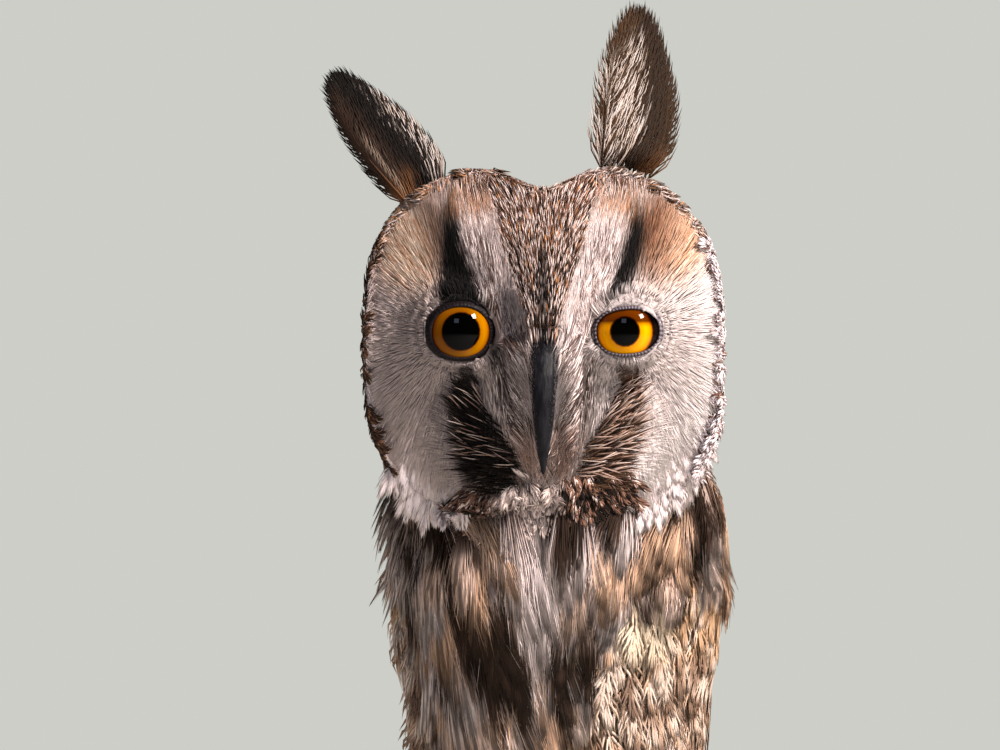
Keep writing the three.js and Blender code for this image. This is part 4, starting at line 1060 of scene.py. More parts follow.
for side, word in SIDES.items():
    near, near_outs = roots_near_eye(side, HAIRS_NEAR_EYE)
    roots, outs = scatter(
        HAIR_SPACING, lambda p: on_face(p) & clear_of_eyes_and_bill(p) & (p[:, 0] * side > 0))
    roots, outs = np.concatenate([near, roots]), np.concatenate([near_outs, outs])
    place = roots - HEAD_CENTRE
    lie = face_lie(place[:, 0], place[:, 2]) + rng.normal(0, 0.08, place.shape)
    length = hair_length(place[:, 0], place[:, 2]) * rng.uniform(0.75, 1.25, len(roots))
    lay_face_hairs("face_" + word, roots, outs, lie, length, rng.uniform(0.22, 0.4, len(roots)),
                   lift=(0.1, 0.95), ground=face_ground)

# %% [markdown]
# Beside the bill the feathers stand forward like a moustache and cover its sides, so that only its ridge
# shows. They don't follow the skin, so each has a line of its own from the skin to a place on the bill.

# %% Hairs over the bill
bill_mesh = horn_pieces["bill"].data
bill_mesh.calc_loop_triangles()
bill_faces = array_of(bill_mesh.loop_triangles, "vertices", 3, np.int32)
bill_ground = ground_of(corners_of(horn_pieces["bill"]), bill_faces)
BILL_SHOWS_Z = [-31, -28.8, -25.7, -22.5, -16, -10, -5, -2]
BILL_SHOWS_HALF = [0.6, 0.9, 1.4, 1.8, 2.3, 2.8, 2.2, 0.9]
BILL_SIDE = 2.8
LINE_STEPS = 5
HAIRS_BESIDE_BILL = 2600
HAIRS_OVER_BILL = 420


def hairs_over_bill(name, x, z, x_tip, z_tip, widths):
    head_y = HEAD_CENTRE[1]
    root_y = front_of(skin_ground, x, z + HEAD_CENTRE[2], head_y - 38)
    skin_y = front_of(skin_ground, x_tip, z_tip + HEAD_CENTRE[2], head_y - 36)
    sign, side = np.sign(x_tip), np.abs(x_tip)
    bill_y = front_of(bill_ground, sign * np.minimum(side, BILL_SIDE - 0.4), z_tip + HEAD_CENTRE[2], 0.0)
    tip_y = np.minimum(skin_y - 1.2, bill_y - 0.4 + 2.2 * np.maximum(0, side - BILL_SIDE))
    s = np.linspace(0, 1, LINE_STEPS)[None, :]
    line = np.stack([x[:, None] + (x_tip - x)[:, None] * s ** 1.3,
                     root_y[:, None] + (tip_y - root_y)[:, None] * s ** 0.75,
                     HEAD_CENTRE[2] + z[:, None] + (z_tip - z)[:, None] * s], axis=-1)
    up = unit(np.stack([0.5 * sign, -np.ones(len(x)), 0.25 + 0 * x], axis=1))
    up = np.broadcast_to(up[:, None, :], line.shape)
    lengths = np.linalg.norm(line[:, -1] - line[:, 0], axis=1)
    lay_face_hairs(name, line[:, 0], up[:, 0], up[:, 0], lengths, widths, grain=0.34, line=(line, up))


for side, word in SIDES.items():
    count = HAIRS_BESIDE_BILL
    x, z = rng.uniform(2.2, 10, count), rng.uniform(-25, 3, count)
    z_tip = np.maximum(z - rng.uniform(4.5, 10, count), -32.5 + rng.uniform(0, 2.5, count))
    bill_edge = np.interp(z_tip, BILL_SHOWS_Z, BILL_SHOWS_HALF) + rng.normal(0.1, 0.45, count)
    x_tip = np.maximum(bill_edge, x - rng.uniform(0.25, 0.6, count) * np.maximum(0, x - bill_edge) - 0.5)
    hairs_over_bill("lores_" + word, side * x, z, side * x_tip, z_tip, rng.uniform(0.16, 0.36, count))

count = HAIRS_OVER_BILL
x, z = rng.uniform(-4.4, 4.4, count), rng.uniform(0.5, 8, count)
z_tip = z - rng.uniform(3, 4.6, count)
hairs_over_bill("bill_top_hairs", x, z, x * 0.8, z_tip, rng.uniform(0.25, 0.45, count))

# %% [markdown]
# The bristles over the dark ground at the gape are bare-tipped feathers. They grow all over it, point
# sideways low down and turn up towards the eye. They stand clear of the ground, so they are single strong
# hairs with a high lift: many dark ones, and fewer pale ones over them.


# %% Bristles
def bristles(name, side, count, heights, length, width, codes, lift):
    x, z = rng.uniform(4, 24, count), rng.uniform(*heights, count)
    x, z = (value[stroke(x, z, MARKS[side]["gape"], 2.0) > 0.4] for value in (x, z))
    x, angle = side * x, np.radians(-4 + 64 * smooth(z, -33, -7)) + rng.normal(0, 0.16, len(z))
    front = front_of(skin_ground, x, z + HEAD_CENTRE[2], -46)
    roots, outs, _ = nearest(skin_ground, np.stack([x, front, z + HEAD_CENTRE[2]], axis=1))
    lie = np.stack([side * np.cos(angle), 0 * x, np.sin(angle) + 0.06], axis=1)
    lie = lie + rng.normal(0, 0.08, lie.shape)
    tone = rng.uniform(-1, 1, (len(x), 1, 1))
    own = np.array([colour(code) for code in codes])[rng.integers(0, len(codes), len(x))][:, None, None, :]
    hairs = lay(name, BRISTLE, roots, outs, lie, rng.uniform(*length, len(x)), rng.uniform(*width, len(x)),
                lambda u, v, p: own * (1 + 0.2 * tone - 0.45 * (1 - u))[..., None], lift=lift)
    finish_piece(hairs, plumage, "face_plumage")


DARK_BRISTLES = ("#120c09", "#1d130d")
BROWN_BRISTLES = ("#3a2519", "#22150e", "#644732")
PALE_BRISTLES = ("#dbc2b6", "#c2a294", "#a38373")
bristles("dark_bristles_right", -1, 900, (-36, -5), (4, 8), (0.22, 0.4), DARK_BRISTLES, (0.4, 2.4))
bristles("dark_bristles_left", 1, 900, (-36, -5), (4, 8), (0.22, 0.4), BROWN_BRISTLES, (0.4, 2.4))
bristles("pale_bristles_right", -1, 84, (-30, -12), (4, 7), (0.2, 0.36), PALE_BRISTLES, (0.8, 3.0))
bristles("pale_bristles_left", 1, 200, (-32, -9), (4, 7.5), (0.26, 0.5), PALE_BRISTLES, (0.8, 3.4))

# %% [markdown]
# The ear tufts are a few long narrow feathers each, on a short root. They are laid along the same middle
# lines as the solids: dark brown in the middle, white and hair-like on the inner edge, warm at the base.

# %% Ear tufts
TUFTS = {
    "right": {"sign": -1, "root": (-29, -12, 38), "tip": (-50, -6, 67), "half": 7.4, "bulge": 0, "sway": 1.2,
              "facing": -18},
    "left": {"sign": 1, "root": (20, -12, 43), "tip": (23, -8, 82), "half": 9.4, "bulge": -1.6, "sway": -0.6,
             "facing": 6},
}
# The white of the tufts is painted greyer than the white of the face, as painted shade.
TUFT_HEX = {"dark": "#120c08", "brown": "#2e1f16", "chocolate": "#45301f", "warm": "#8f5f3a",
            "white": "#c2b5ae", "edge": "#a8927f"}
TUFT = {name: colour(code) for name, code in TUFT_HEX.items()}


def tuft_axes(tuft):
    root, tip = np.array(tuft["root"], float), np.array(tuft["tip"], float)
    run = unit(tip - root)
    turn = math.radians(tuft["facing"])
    side = unit(np.cross((math.sin(turn), -math.cos(turn), 0), run))
    return root, tip, run, side, unit(np.cross(run, side))


def tuft_colours(tuft, u, inner, tone, speckle):
    """inner runs from -1 at the outer edge of the tuft to 1 at its inner edge."""
    left = tuft["sign"] > 0
    middle = (1 - smooth(np.abs(inner + 0.1), 0.25, 0.7)) * (0.6 if left else 1)
    shade = mixed(TUFT["chocolate" if left else "brown"], TUFT["dark"], middle)
    shade = mixed(shade, TUFT["warm"], 0.7 * (1 - smooth(u, 0.06, 0.3)) * smooth(-inner, 0.1, 0.6))
    edge = smooth(-inner, 0.86, 0.97) * (1 - smooth(u, 0.55, 0.8))
    shade = mixed(shade, TUFT["edge"], edge * (0.8 if left else 0.5))
    white_from = np.interp(u, [0, 0.5, 0.9], (0.1, 0.26, 0.4) if left else (0.3, 0.08, 0.2))
    below_tip = 1 - smooth(u + 0.2 * (speckle - 0.5), 0.82, 0.96)
    white = smooth(inner, white_from - 0.08, white_from + 0.1) * below_tip
    shade = mixed(shade, TUFT["white"], white * (speckle > (0.5 if left else 0.56)))
    shade = mixed(shade, TUFT["edge"], 0.6 * white * (speckle > 0.8))
    return shade * (1 + 0.15 * tone)[..., None]


TUFT_FEATHERS = 13
TUFT_FEATHER = feather_kind(84, 0.22, 0.2, blunt=3.6, loose=0.014, end=0.94)
for word, tuft in TUFTS.items():
    root, tip, run, side, front = tuft_axes(tuft)
    length = np.linalg.norm(tip - root)
    across = np.linspace(-1, 1, TUFT_FEATHERS)
    reach = length * (1.01 - 0.24 * np.abs(across - 0.08) ** 2.6)
    s = np.linspace(0, 1, 6)[None, :, None]
    spread = (across * tuft["half"] * 0.66)[:, None, None] * (0.5 + 0.75 * np.sin(
        math.pi * np.minimum(1, 0.22 + 0.62 * s)))
    sway = tuft["bulge"] * np.sin(math.pi * s) + tuft["sway"] * s * s
    layer = (0.34 * np.arange(TUFT_FEATHERS) - 1.8)[:, None, None]
    line = HEAD_CENTRE + root + run * (-3 + s * (reach[:, None, None] + 3)) + side * (spread + sway)
    line = line + front * (layer + 1.5 * s * s)
    up = np.broadcast_to(front, line.shape)
    inner_of = (across * tuft["sign"])[:, None, None]
    tone = rng.uniform(-1, 1, (TUFT_FEATHERS, len(TUFT_FEATHER["lines"]), 1))
    speckle = rng.random((TUFT_FEATHERS, len(TUFT_FEATHER["lines"]), 1))

    def tuft_paint(u, v, places):
        inner = 0.76 * inner_of + 0.28 * v * tuft["sign"]
        return tuft_colours(tuft, u, inner, tone + 0 * u, speckle + 0.1 * u)

    feathers = lay("tuft_feathers_" + word, TUFT_FEATHER, line[:, 0], up[:, 0], up[:, 0], reach,
                   tuft["half"] * 0.84, tuft_paint, line=(line, up), camber=0.2)
    finish_piece(feathers, plumage, "tuft_plumage", "ear_tuft_" + word)

# %% [markdown]
# Crown, cheeks and nape carry small mottled feathers that lie backwards over the head and down the neck.
# They are short and dense where they show from the front, and longer on the nape.


# %% Crown and nape
def behind_face(places):
    x, y, z = from_head(places)
    share = face_share(x, z)
    behind = (y > -20) | (share > 0.99) | ((share > 0.9) & (z > 22))
    return behind & (places[:, 2] > 288) & ~((y < -6) & (z < -30))


def head_lie(places):
    x, y, z = from_head(places)
    back, low = 1 - smooth(y, 0, 34), smooth(-z, 0, 30)
    return unit(np.stack([0.25 * x / 45, back + 0.15, -(1 - back) - 0.9 * low], axis=1))


def crown_paint(u, v, places, tone, pick, waves):
    """A grain of pale, brown and buff barbs with dark waves across each feather."""
    shade = picked(pick + 0 * u, (0.44, "fleck_pale"), (0.36, "crown_brown"), (0.06, "fleck_buff"),
                   (0.14, "russet"))
    bars = 0.8 * (np.sin(u * waves + 7 * v * v + 6 * tone) > 0.62)
    streak = 0.7 * (1 - smooth(np.abs(v), 0.1, 0.35)) * smooth(u, 0.3, 0.6)
    return mixed(shade, FACE["fleck_dark"], np.maximum(bars, streak)) * (1 + 0.18 * tone)[..., None]


def lay_small_feathers(name, kind, roots, outs, lies, lengths, widths, painter, lift, slot, **how):
    count = len(roots)
    tone = rng.uniform(-1, 1, (count, 1, 1))
    pick = rng.random((count, len(kind["lines"]), 1))
    piece = lay(name, kind, roots, outs, lies, rng.uniform(*lengths, count), rng.uniform(*widths, count),
                lambda u, v, p: painter(u, v, p, tone, pick), lift=lift, **how)
    finish_piece(piece, plumage, slot)


def lay_head_feathers(name, kind, spacing, region, lengths, widths, lift, waves):
    roots, outs = scatter(spacing, region)
    lie = head_lie(roots) + rng.normal(0, 0.12, roots.shape)
    lay_small_feathers(name, kind, roots, outs, lie, lengths, widths,
                       lambda *at: crown_paint(*at, waves), lift, "plumage")


CROWN_FRONT_Y = 12
CROWN_LOW_Z = 352
lay_head_feathers("crown", SMALL_FEATHER, 2.72,
                  lambda p: behind_face(p) & (p[:, 2] > CROWN_LOW_Z) & (p[:, 1] < CROWN_FRONT_Y),
                  (5.0, 7.0), (3.2, 4.4), (0.2, 1.9), 9)
lay_head_feathers("cheeks", SMALL_FEATHER, 4.15,
                  lambda p: behind_face(p) & (p[:, 2] <= CROWN_LOW_Z) & (p[:, 1] < CROWN_FRONT_Y),
                  (7.5, 10), (4.6, 6.0), (0.2, 1.8), 11)
lay_head_feathers("nape", FIRM_FEATHER, 6.9, lambda p: behind_face(p) & (p[:, 1] >= CROWN_FRONT_Y),
                  (15, 19), (9.5, 11.5), (0.2, 2.6), 13)

# %% [markdown]
# A narrow ruff of stiffer feathers edges the face. On the bird's right side it is a thin dark line, on its
# left a pale band with fine brown flecks.

# %% Ruff
RUFF_INNER = {"thin": 0.925, "broad": 0.9}
RUFF_OUTER = 1.02


def at_rim(places):
    x, y, z = from_head(places)
    share = face_share(x, z)
    inner = np.where(x < 0, RUFF_INNER["thin"], RUFF_INNER["broad"])
    return (share > inner) & (share < RUFF_OUTER) & (y < -8) & (z > -30) & (z < 24)


def ruff_paint(u, v, places, tone, pick):
    right = (places[..., 0] < HEAD_CENTRE[0]).astype(float)
    line = picked(pick + 0 * u, (0.6, "umber"), (0.4, "russet"))
    band = picked(pick + 0 * u, (0.66, "rim"), (0.2, "grey"), (0.14, "fleck_mid"))
    return mixed(band, line, right) * (1 + 0.08 * tone)[..., None]


roots, outs = scatter(2.1, at_rim)
x, _, z = from_head(roots)
lie = np.stack([x, 10 - 8 * (1 - smooth(z, -24, -8)), z], axis=1)
full = 1.9 + 1.8 * (x > 0) * smooth(-z, 6, 18)
lay_small_feathers("ruff", SMALL_FEATHER, roots, outs, unit(lie) + rng.normal(0, 0.1, lie.shape), (4.5, 6.5),
                   (2.6, 3.8), ruff_paint, (0.5, full), "face_plumage")

# %% [markdown]
# Low on the cheeks the face ends in two white lobes. Their feathers are broad and smooth and hang straight
# down and outwards over the rim. Some carry a dark drop at the tip, so that the lower edge looks scalloped.

# %% Lobes of the face
LOBE_FEATHER = feather_kind(13, 0.6, 0.28, blunt=3.0, bases=(0.0, 0.74), loose=0.04)


def at_lobe(places):
    x, y, z = from_head(places)
    share, left = face_share(x, z), x > 0
    between = (share > 0.78) & (share < np.where(left, 0.92, 0.94)) & (y < -10)
    aside = np.abs(x) > np.where(left, 23, 19)
    return between & aside & (z < np.where(left, -20, -27)) & (z > -45)


def lobe_paint(u, v, places, tone, pick):
    shade = picked(pick + 0 * u, (0.5, "white"), (0.3, "rim"), (0.2, "disc")) * 0.9
    drop = 0.9 * (1 - smooth(np.hypot(v / 0.34, (u - 0.88) / 0.07), 0.6, 1.3)) * (tone > 0.3)
    return mixed(shade, FACE["umber"], drop) * (1 + 0.1 * tone)[..., None]


roots, outs = scatter(2.7, at_lobe)
x, _, z = from_head(roots)
lie = np.stack([0.8 * (x - EYE[0] * np.sign(x)), 0 * x, z - EYE[2]], axis=1)
lay_small_feathers("lobes", LOBE_FEATHER, roots, outs, unit(lie) + rng.normal(0, 0.12, lie.shape), (7, 10.5),
                   (3.4, 4.8), lobe_paint, (0.2, 1.0), "face_plumage", ground=None)

# %% [markdown]
# Under the bill lies a beard of short crisp feathers, each darker at its root, so that the chin looks
# flecked. It is whitish in the middle and turns outwards to both sides, lower on the bird's right.


# %% Chin
CHIN_X = [-21, -14, -7, 0, 8, 21]
CHIN_TOP = [-36, -35, -33, -33, -31, -30]
CHIN_BOTTOM = [-43, -45, -44, -42, -40, -37]


def on_chin(places):
    x, y, z = from_head(places)
    top, bottom = np.interp(x, CHIN_X, CHIN_TOP), np.interp(x, CHIN_X, CHIN_BOTTOM)
    return (np.abs(x) < 21) & (z > bottom) & (z < top) & (y < -20)


def chin_paint(u, v, places, tone, pick):
    shade = chin_colours(places[..., 0], 0.5 * pick + 0.25 * (tone + 1) + 0 * u)
    dark = 0.8 * (1 - smooth(u + 0.3 * np.abs(v) + 0.25 * tone, 0.3, 0.6))
    return mixed(shade, FACE["fleck_dark"], dark) * (1 + 0.2 * tone)[..., None]


roots, outs = scatter(1.7, on_chin)
side_way = np.sign(roots[:, 0]) * smooth(np.abs(roots[:, 0]), 2, 22) * 1.3
lie = np.stack([side_way, 0 * side_way, -np.ones(len(roots))], axis=1) + rng.normal(0, 0.4, roots.shape)
lay_small_feathers("chin", SMALL_FEATHER, roots, outs, lie, (3.6, 6.4), (1.6, 3.0), chin_paint, (0.5, 2.2),
                   "face_plumage")

# %% [markdown]
# Body feathers are loose and hair-like, and hang down over one another. On the real bird their dark middles
# line up into long streaks. The streaks are drawn here as one pattern over the whole body, stretched along
# the lie of the feathers, so that they run on from one feather to the next.

# %% Breast, belly and back
BODY_HEX = {"white": "#e6d5d1", "buff": "#d6a67d", "dark": "#2c1e15", "brown": "#654738", "grey": "#a3928b",
            "leg": "#d8b07e"}
BODY = {name: colour(code) for name, code in BODY_HEX.items()}


def own_noise(places, size, seed):
    """Smooth values from 0 to 1 that change over the given size in millimetres."""
    turn = np.random.default_rng(seed).uniform(0, 6.28, 6)
    p = places / size
    wave = np.sin(p[..., 0] * 1.7 + turn[0] + 1.3 * np.sin(p[..., 2] * 1.1 + turn[1]))
    wave = wave + np.sin(p[..., 2] * 1.9 + turn[2] + 1.1 * np.sin(p[..., 1] * 1.6 + turn[3]))
    wave = wave + np.sin(p[..., 1] * 1.5 + turn[4] + p[..., 0] + turn[5])
    return np.clip(0.5 + wave / 4.5, 0, 1)


def inwards(x):
    """How far sideways the feathers hang for each step down, by place across the body."""
    return 0.36 * smooth(-x, -10, 24) - 0.2 * smooth(x, 10, 30)


def streaks(places):
    """Dark streaks along the lie, from 0 to 1. They are 4 to 6 mm wide and fade on the back."""
    x, z = places[..., 0], places[..., 2]
    along = np.stack([x + inwards(x) * (z - 250), 0.5 * places[..., 1], 0.2 * z], axis=-1)
    wide = own_noise(along, 2.6, 5)
    patchy = own_noise(places, 13, 8)
    middle = 0.05 * (1 - smooth(np.abs(x + 1), 8, 18))
    behind = 0.75 * smooth(to_body(places)[..., 1], 4, 20)
    return smooth(wide + 0.22 * (patchy - 0.5) + middle, 0.52, 0.63) * (1 - behind)


def body_front(places):
    z, angle = places[:, 2], body_angle(places)
    top = np.where(places[:, 1] < HEAD_CENTRE[1] - 12, 293, 303)
    return ~under_wing_coat(places, 6) & (z > 150) & (z < top) & (angle < np.where(z > 262, 34, 20))


def under_chin(places):
    """These start under the chin's own short feathers and cover the roots of the breast's."""
    x, y, z = from_head(places)
    return (np.abs(x) < 24) & (y < -12) & (z > -45) & (z < -34)


def at_neck_side(places):
    """The side of the neck behind the bird's right cheek, where the coat is deepest."""
    x, y, z = from_head(places)
    beside = (x < -17) & (y < 30) & (y > np.where(z > -42, -12, -30))
    return beside & (z > -52) & (z < -17)


def body_paint(u, v, places, tone, warm, stray):
    at = places + stray
    shade = mixed(BODY["white"], BODY["buff"], warm + 0 * u)
    root = 1 - smooth(u, 0.1, 0.5)
    shade = mixed(shade, BODY["grey"], 0.5 * root)
    # Painted shade under the chin: at the top of the breast the roots of the front feathers turn brown.
    shade = mixed(shade, BODY["brown"], 0.8 * root * smooth(at[..., 2], 276, 284) * (at[..., 1] < 0))
    streak = streaks(at)
    shade = mixed(shade, BODY["brown"], smooth(streak, 0.05, 0.5))
    shade = mixed(shade, BODY["dark"], smooth(streak, 0.45, 0.9))
    shaft = 0.8 * (1 - smooth(np.abs(v), 0.06, 0.22)) * smooth(u, 0.3, 0.7)
    # Painted shade under the head: the top of the breast darkens on the bird's right side and in the middle.
    painted_shade_under_head = 0.3 * smooth(at[..., 2], 262, 286) * (1 - smooth(at[..., 0], 0, 24))
    return mixed(shade, BODY["dark"], np.maximum(shaft, painted_shade_under_head)) * (1 + 0.14 * tone)[..., None]


def body_feathers(name, kind, spacing, region, length, width, lift, warm):
    roots, outs = scatter(spacing, region)
    upright = outs[:, 2] > -0.5
    roots, outs = roots[upright], outs[upright]
    count = len(roots)
    tone = rng.uniform(-1, 1, (count, 1, 1))
    warm_of = (warm[0] + (warm[1] - warm[0]) * smooth(own_noise(roots, 9, 3), 0.35, 0.7))[:, None, None]
    stray = rng.normal(0, 0.7, (count, len(kind["lines"]), 1, 3))
    lie = np.stack([inwards(roots[:, 0]), 0 * roots[:, 0], -np.ones(count)], axis=1)
    lengths = rng.uniform(*length, count) * np.where(under_wing_coat(roots - (0, 0, 15)), 0.6, 1)
    lie = lie + rng.normal(0, 0.12, lie.shape)
    piece = lay(name, kind, roots, outs, lie, lengths, rng.uniform(*width, count),
                lambda u, v, p: body_paint(u, v, p, tone, warm_of, stray), lift=lift)
    finish_piece(piece, plumage, "plumage")


body_feathers("breast", SOFT_FEATHER, 5.4, lambda p: body_front(p) & (p[:, 2] > 215), (24, 33), (11, 15),
              (0.2, 4.0), (0.0, 0.8))
body_feathers("under_chin", SOFT_FEATHER, 4.6, under_chin, (16, 22), (9, 12), (0.0, 1.7), (0.0, 0.6))
body_feathers("neck_side", SOFT_FEATHER, 6.4, at_neck_side, (15, 20), (9, 11), (0.6, 6.5), (0.1, 0.5))
body_feathers("belly", SOFT_FEATHER, 7.2, lambda p: body_front(p) & (p[:, 2] <= 215), (26, 34), (13, 17),
              (0.2, 3.8), (0.2, 0.8))
body_feathers("back", FIRM_FEATHER, 7.4, lambda p: ~under_wing(p, 6) & (p[:, 2] > 205) & (p[:, 2] < 299)
              & (body_angle(p) > 26), (20, 26), (11, 14), (0.2, 3.6), (0.5, 0.9))
body_feathers("vent", SOFT_FEATHER, 7.6, lambda p: (p[:, 2] > 104) & (p[:, 2] < 158) & ~under_wing(p, 0)
              & (to_body(p)[:, 1] > 8), (24, 30), (13, 16), (0.2, 3.0), (0.1, 0.5))

# %% [markdown]
# Legs and toes are feathered down to the claws with short buff down. Single hairs are enough here, and they
# turn forward along the front toes and back along the hind ones.


# %% Legs and toes
def on_legs(places):
    own = to_body(places)
    return (places[:, 2] < 160) & (own[:, 1] < 9) & (places[:, 2] > 114)


roots, outs = scatter(1.38, on_legs)
tone = rng.uniform(-1, 1, (len(roots), 1, 1))
toe_way = np.where(to_body(roots)[:, 1] < -8, -1.0, 1.0)
down = np.stack([0 * toe_way, toe_way * (roots[:, 2] < 142), -np.ones(len(roots))], axis=1)
down = unit(from_body(down) - BODY_SHIFT)
legs = lay("leg_feathers", HAIR, roots, outs, down + rng.normal(0, 0.12, roots.shape),
           np.where(roots[:, 2] < 142, 3.2, 8.0), rng.uniform(0.6, 1.0, len(roots)),
           lambda u, v, p: mixed(BODY["leg"], BODY["white"], 0.35 + 0.3 * (tone + 0 * u)), lift=(0.1, 1.0))
finish_piece(legs, plumage, "leg_plumage")

# %% [markdown]
# The folded wing is tiled in rows, from small coverts at the shoulder to long quills at the bottom. Each
# row starts under the one above it. Places on the wing are a height and a share from its front edge to
# its back edge, and every feather hugs the outside of the solid wing. The small coverts over the shoulder
# are scattered instead, as they lie too close together to count in rows.

# %% Wings
WING_ROWS = [
    # name, count, heights of the roots at the front and back, and of the tips, from where to where across,
    # width, kind, and by how many degrees it turns to the back
    ("primaries", 7, (136, 136), (26, 66), (0.04, 0.66), 13, "quill", 44),
    ("secondaries", 11, (182, 188), (122, 108), (0.02, 0.99), 13, "quill", 8),
    ("greater_coverts", 12, (208, 206), (176, 168), (0.03, 0.99), 11, "covert", 4),
    ("median_coverts", 12, (226, 224), (196, 193), (0.06, 0.97), 10, "covert", 3),
    ("scapulars_low", 4, (250, 246), (206, 190), (0.78, 1.0), 14, "covert", 0),
    ("scapulars_high", 4, (272, 268), (234, 226), (0.74, 1.0), 13, "covert", 0),
]
WING_HEX = {"ground": "#cdaa8e", "grey": "#b09a8d", "dark": "#5c4335", "buff": "#d3a77d", "white": "#dfcdbf",
            "patch": "#e2cdb3", "quill": "#b0937a", "bar": "#46352a"}
WING = {name: colour(code) for name, code in WING_HEX.items()}
WING_STEPS = 6


def wing_line(sign, root_z, tip_z, share, turn, height):
    s = np.linspace(0, 1, WING_STEPS)[None, :]
    z = root_z[:, None] + (tip_z - root_z)[:, None] * s
    front = np.interp(root_z, WING_COAT_Z, WING_COAT_FRONT)
    back = np.interp(root_z, WING_Z, WING_BACK)
    degrees = np.minimum((front + (back - front) * share)[:, None] + turn[:, None] * s, 86.5)
    rough = on_body(z, degrees, 9, sign)
    place, out, _ = nearest(wing_ground[sign], rough.reshape(-1, 3))
    place, out = place.reshape(rough.shape), out.reshape(rough.shape)
    wide = unit(rough - on_body(z, degrees, 0, sign))
    out = unit(0.5 * out + wide)
    place[:, 1:-1] = (place[:, :-2] + 2 * place[:, 1:-1] + place[:, 2:]) / 4
    return place + out * (height[0] + (height[1] - height[0]) * s ** 0.7)[..., None], out


def covert_paint(u, v, places, tone, fleck):
    """Cream and brown blotches over a buff ground, with an ochre edge round one pale patch at the wrist."""
    mottled = own_noise(places + 5 * fleck[..., None], 3.4, 11)
    x, z = np.abs(to_body(places)[..., 0]), places[..., 2]
    wrist = smooth(z, 246, 262) * smooth(x, 20, 30)
    patch = 1 - smooth(np.hypot(places[..., 0] - 24, z - 260) / 9.5, 0.6, 1.1)
    shade = mixed(WING["ground"], WING["grey"], 0.6 * fleck * (1 - wrist))
    shade = mixed(shade, WING["buff"], np.maximum(0.8 * wrist, 0.6 * (1 - smooth(u, 0.1, 0.5))))
    shade = mixed(shade, WING["dark"], 0.75 * smooth(mottled, 0.53, 0.65) * (1 - 0.6 * wrist))
    shade = mixed(shade, WING["white"], 0.75 * (1 - smooth(mottled, 0.34, 0.46)))
    shade = mixed(shade, WING["patch"], 0.9 * patch)
    shaft = 0.35 * (1 - smooth(np.abs(v), 0.03, 0.12))
    return mixed(shade, WING["dark"], shaft) * (1 + 0.1 * tone)[..., None]


def quill_paint(u, v, places, tone, fleck):
    bars = smooth(np.sin(u * 40 + 5 * fleck), 0.05, 0.5)
    shade = mixed(WING["quill"], WING["grey"], smooth(u, 0.45, 0.8))
    shade = mixed(shade, WING["bar"], 0.85 * bars)
    shade = mixed(shade, WING["bar"], 0.5 * (own_noise(places, 1.6, 23) > 0.62))
    return shade * (1 + 0.12 * tone)[..., None]


WING_KINDS = {"quill": (QUILL_FEATHER, quill_paint), "covert": (LONG_COVERT_FEATHER, covert_paint)}


def wing_row(side, sign, row):
    name, count, roots_z, tips_z, across, width, kind, turn = row
    at = (np.arange(count) + rng.uniform(0.2, 0.8)) / count + rng.normal(0, 0.016, count)
    share = across[0] + (across[1] - across[0]) * at
    root_z = roots_z[0] + (roots_z[1] - roots_z[0]) * at + rng.normal(0, 0.6, count)
    tip_z = tips_z[0] + (tips_z[1] - tips_z[0]) * at + rng.normal(0, 1.2, count)
    turns = turn * (1 - 0.6 * at)
    rise = 0.1 + 0.05 * np.arange(count)[:, None]
    line = wing_line(sign, root_z, tip_z, share, turns, (-0.6 + rise, 0.5 + rise))
    tone, fleck = rng.uniform(-1, 1, (count, 1, 1)), rng.random((count, 1, 1))
    feather, painter = WING_KINDS[kind]
    out = line[1][:, 0]
    return lay(f"{name}_{side}", feather, line[0][:, 0], out, out, root_z - tip_z, width,
               lambda u, v, p: painter(u, v, p, tone, fleck), line=line, camber=0.22)


def small_coverts(side, sign):
    def at_shoulder(places):
        return under_wing_coat(places) & (places[:, 2] > 212) & (to_body(places)[:, 0] * sign > 0)

    roots, outs = scatter(6.0, at_shoulder)
    count = len(roots)
    tone, fleck = rng.uniform(-1, 1, (count, 1, 1)), rng.random((count, 1, 1))
    lie = unit(from_body(np.array([[0.0, 0.3, -1.0]])) - BODY_SHIFT) + rng.normal(0, 0.16, (count, 3))
    return lay("small_coverts_" + side, COVERT_FEATHER, roots, outs, lie, rng.uniform(14, 18, count),
               rng.uniform(8.5, 10.5, count), lambda u, v, p: covert_paint(u, v, p, tone, fleck),
               lift=(0.4, 2.4))


for sign, side in SIDES.items():
    rows = [wing_row(side, sign, row) for row in WING_ROWS] + [small_coverts(side, sign)]
    only(*rows)
    bpy.ops.object.join()
    whole = bpy.context.view_layer.objects.active
    whole.name = "wing_feathers_" + side
    finish_piece(whole, plumage, "flight_plumage")

# %% [markdown]
# The tail has twelve feathers. They lie in a low fan, the middle pair on top, with dark bars on a greyish
# buff ground that is paler towards the root.

# %% Tail
TAIL = {"count": 12, "root": 128, "tip": 23, "spread": 19, "layer": 0.56, "outer_short": 9}
rank = np.array([5, 4, 3, 2, 1, 0, 0, 1, 2, 3, 4, 5])
sign = np.where(np.arange(TAIL["count"]) < 6, -1, 1)
share = (rank + 0.5) / 6
s = np.linspace(0, 1, 8)[None, :]
z = TAIL["root"] - s * (TAIL["root"] - TAIL["tip"] - TAIL["outer_short"] * share ** 2)[:, None]
depth = TAIL["layer"] * (5.5 - 2 * rank - (sign > 0))[:, None]
x = (sign * TAIL["spread"] * share)[:, None] * (0.5 + 0.5 * s)
line = from_body(np.stack([x, np.interp(z, BODY_Z, BODY_BACK) + depth, z], axis=-1))
up = np.broadcast_to(from_body(np.array([[0.0, 1.0, 0.25]])) - BODY_SHIFT, line.shape)
tone, fleck = rng.uniform(-1, 1, (12, 1, 1)), rng.random((12, 1, 1)) * 0.2
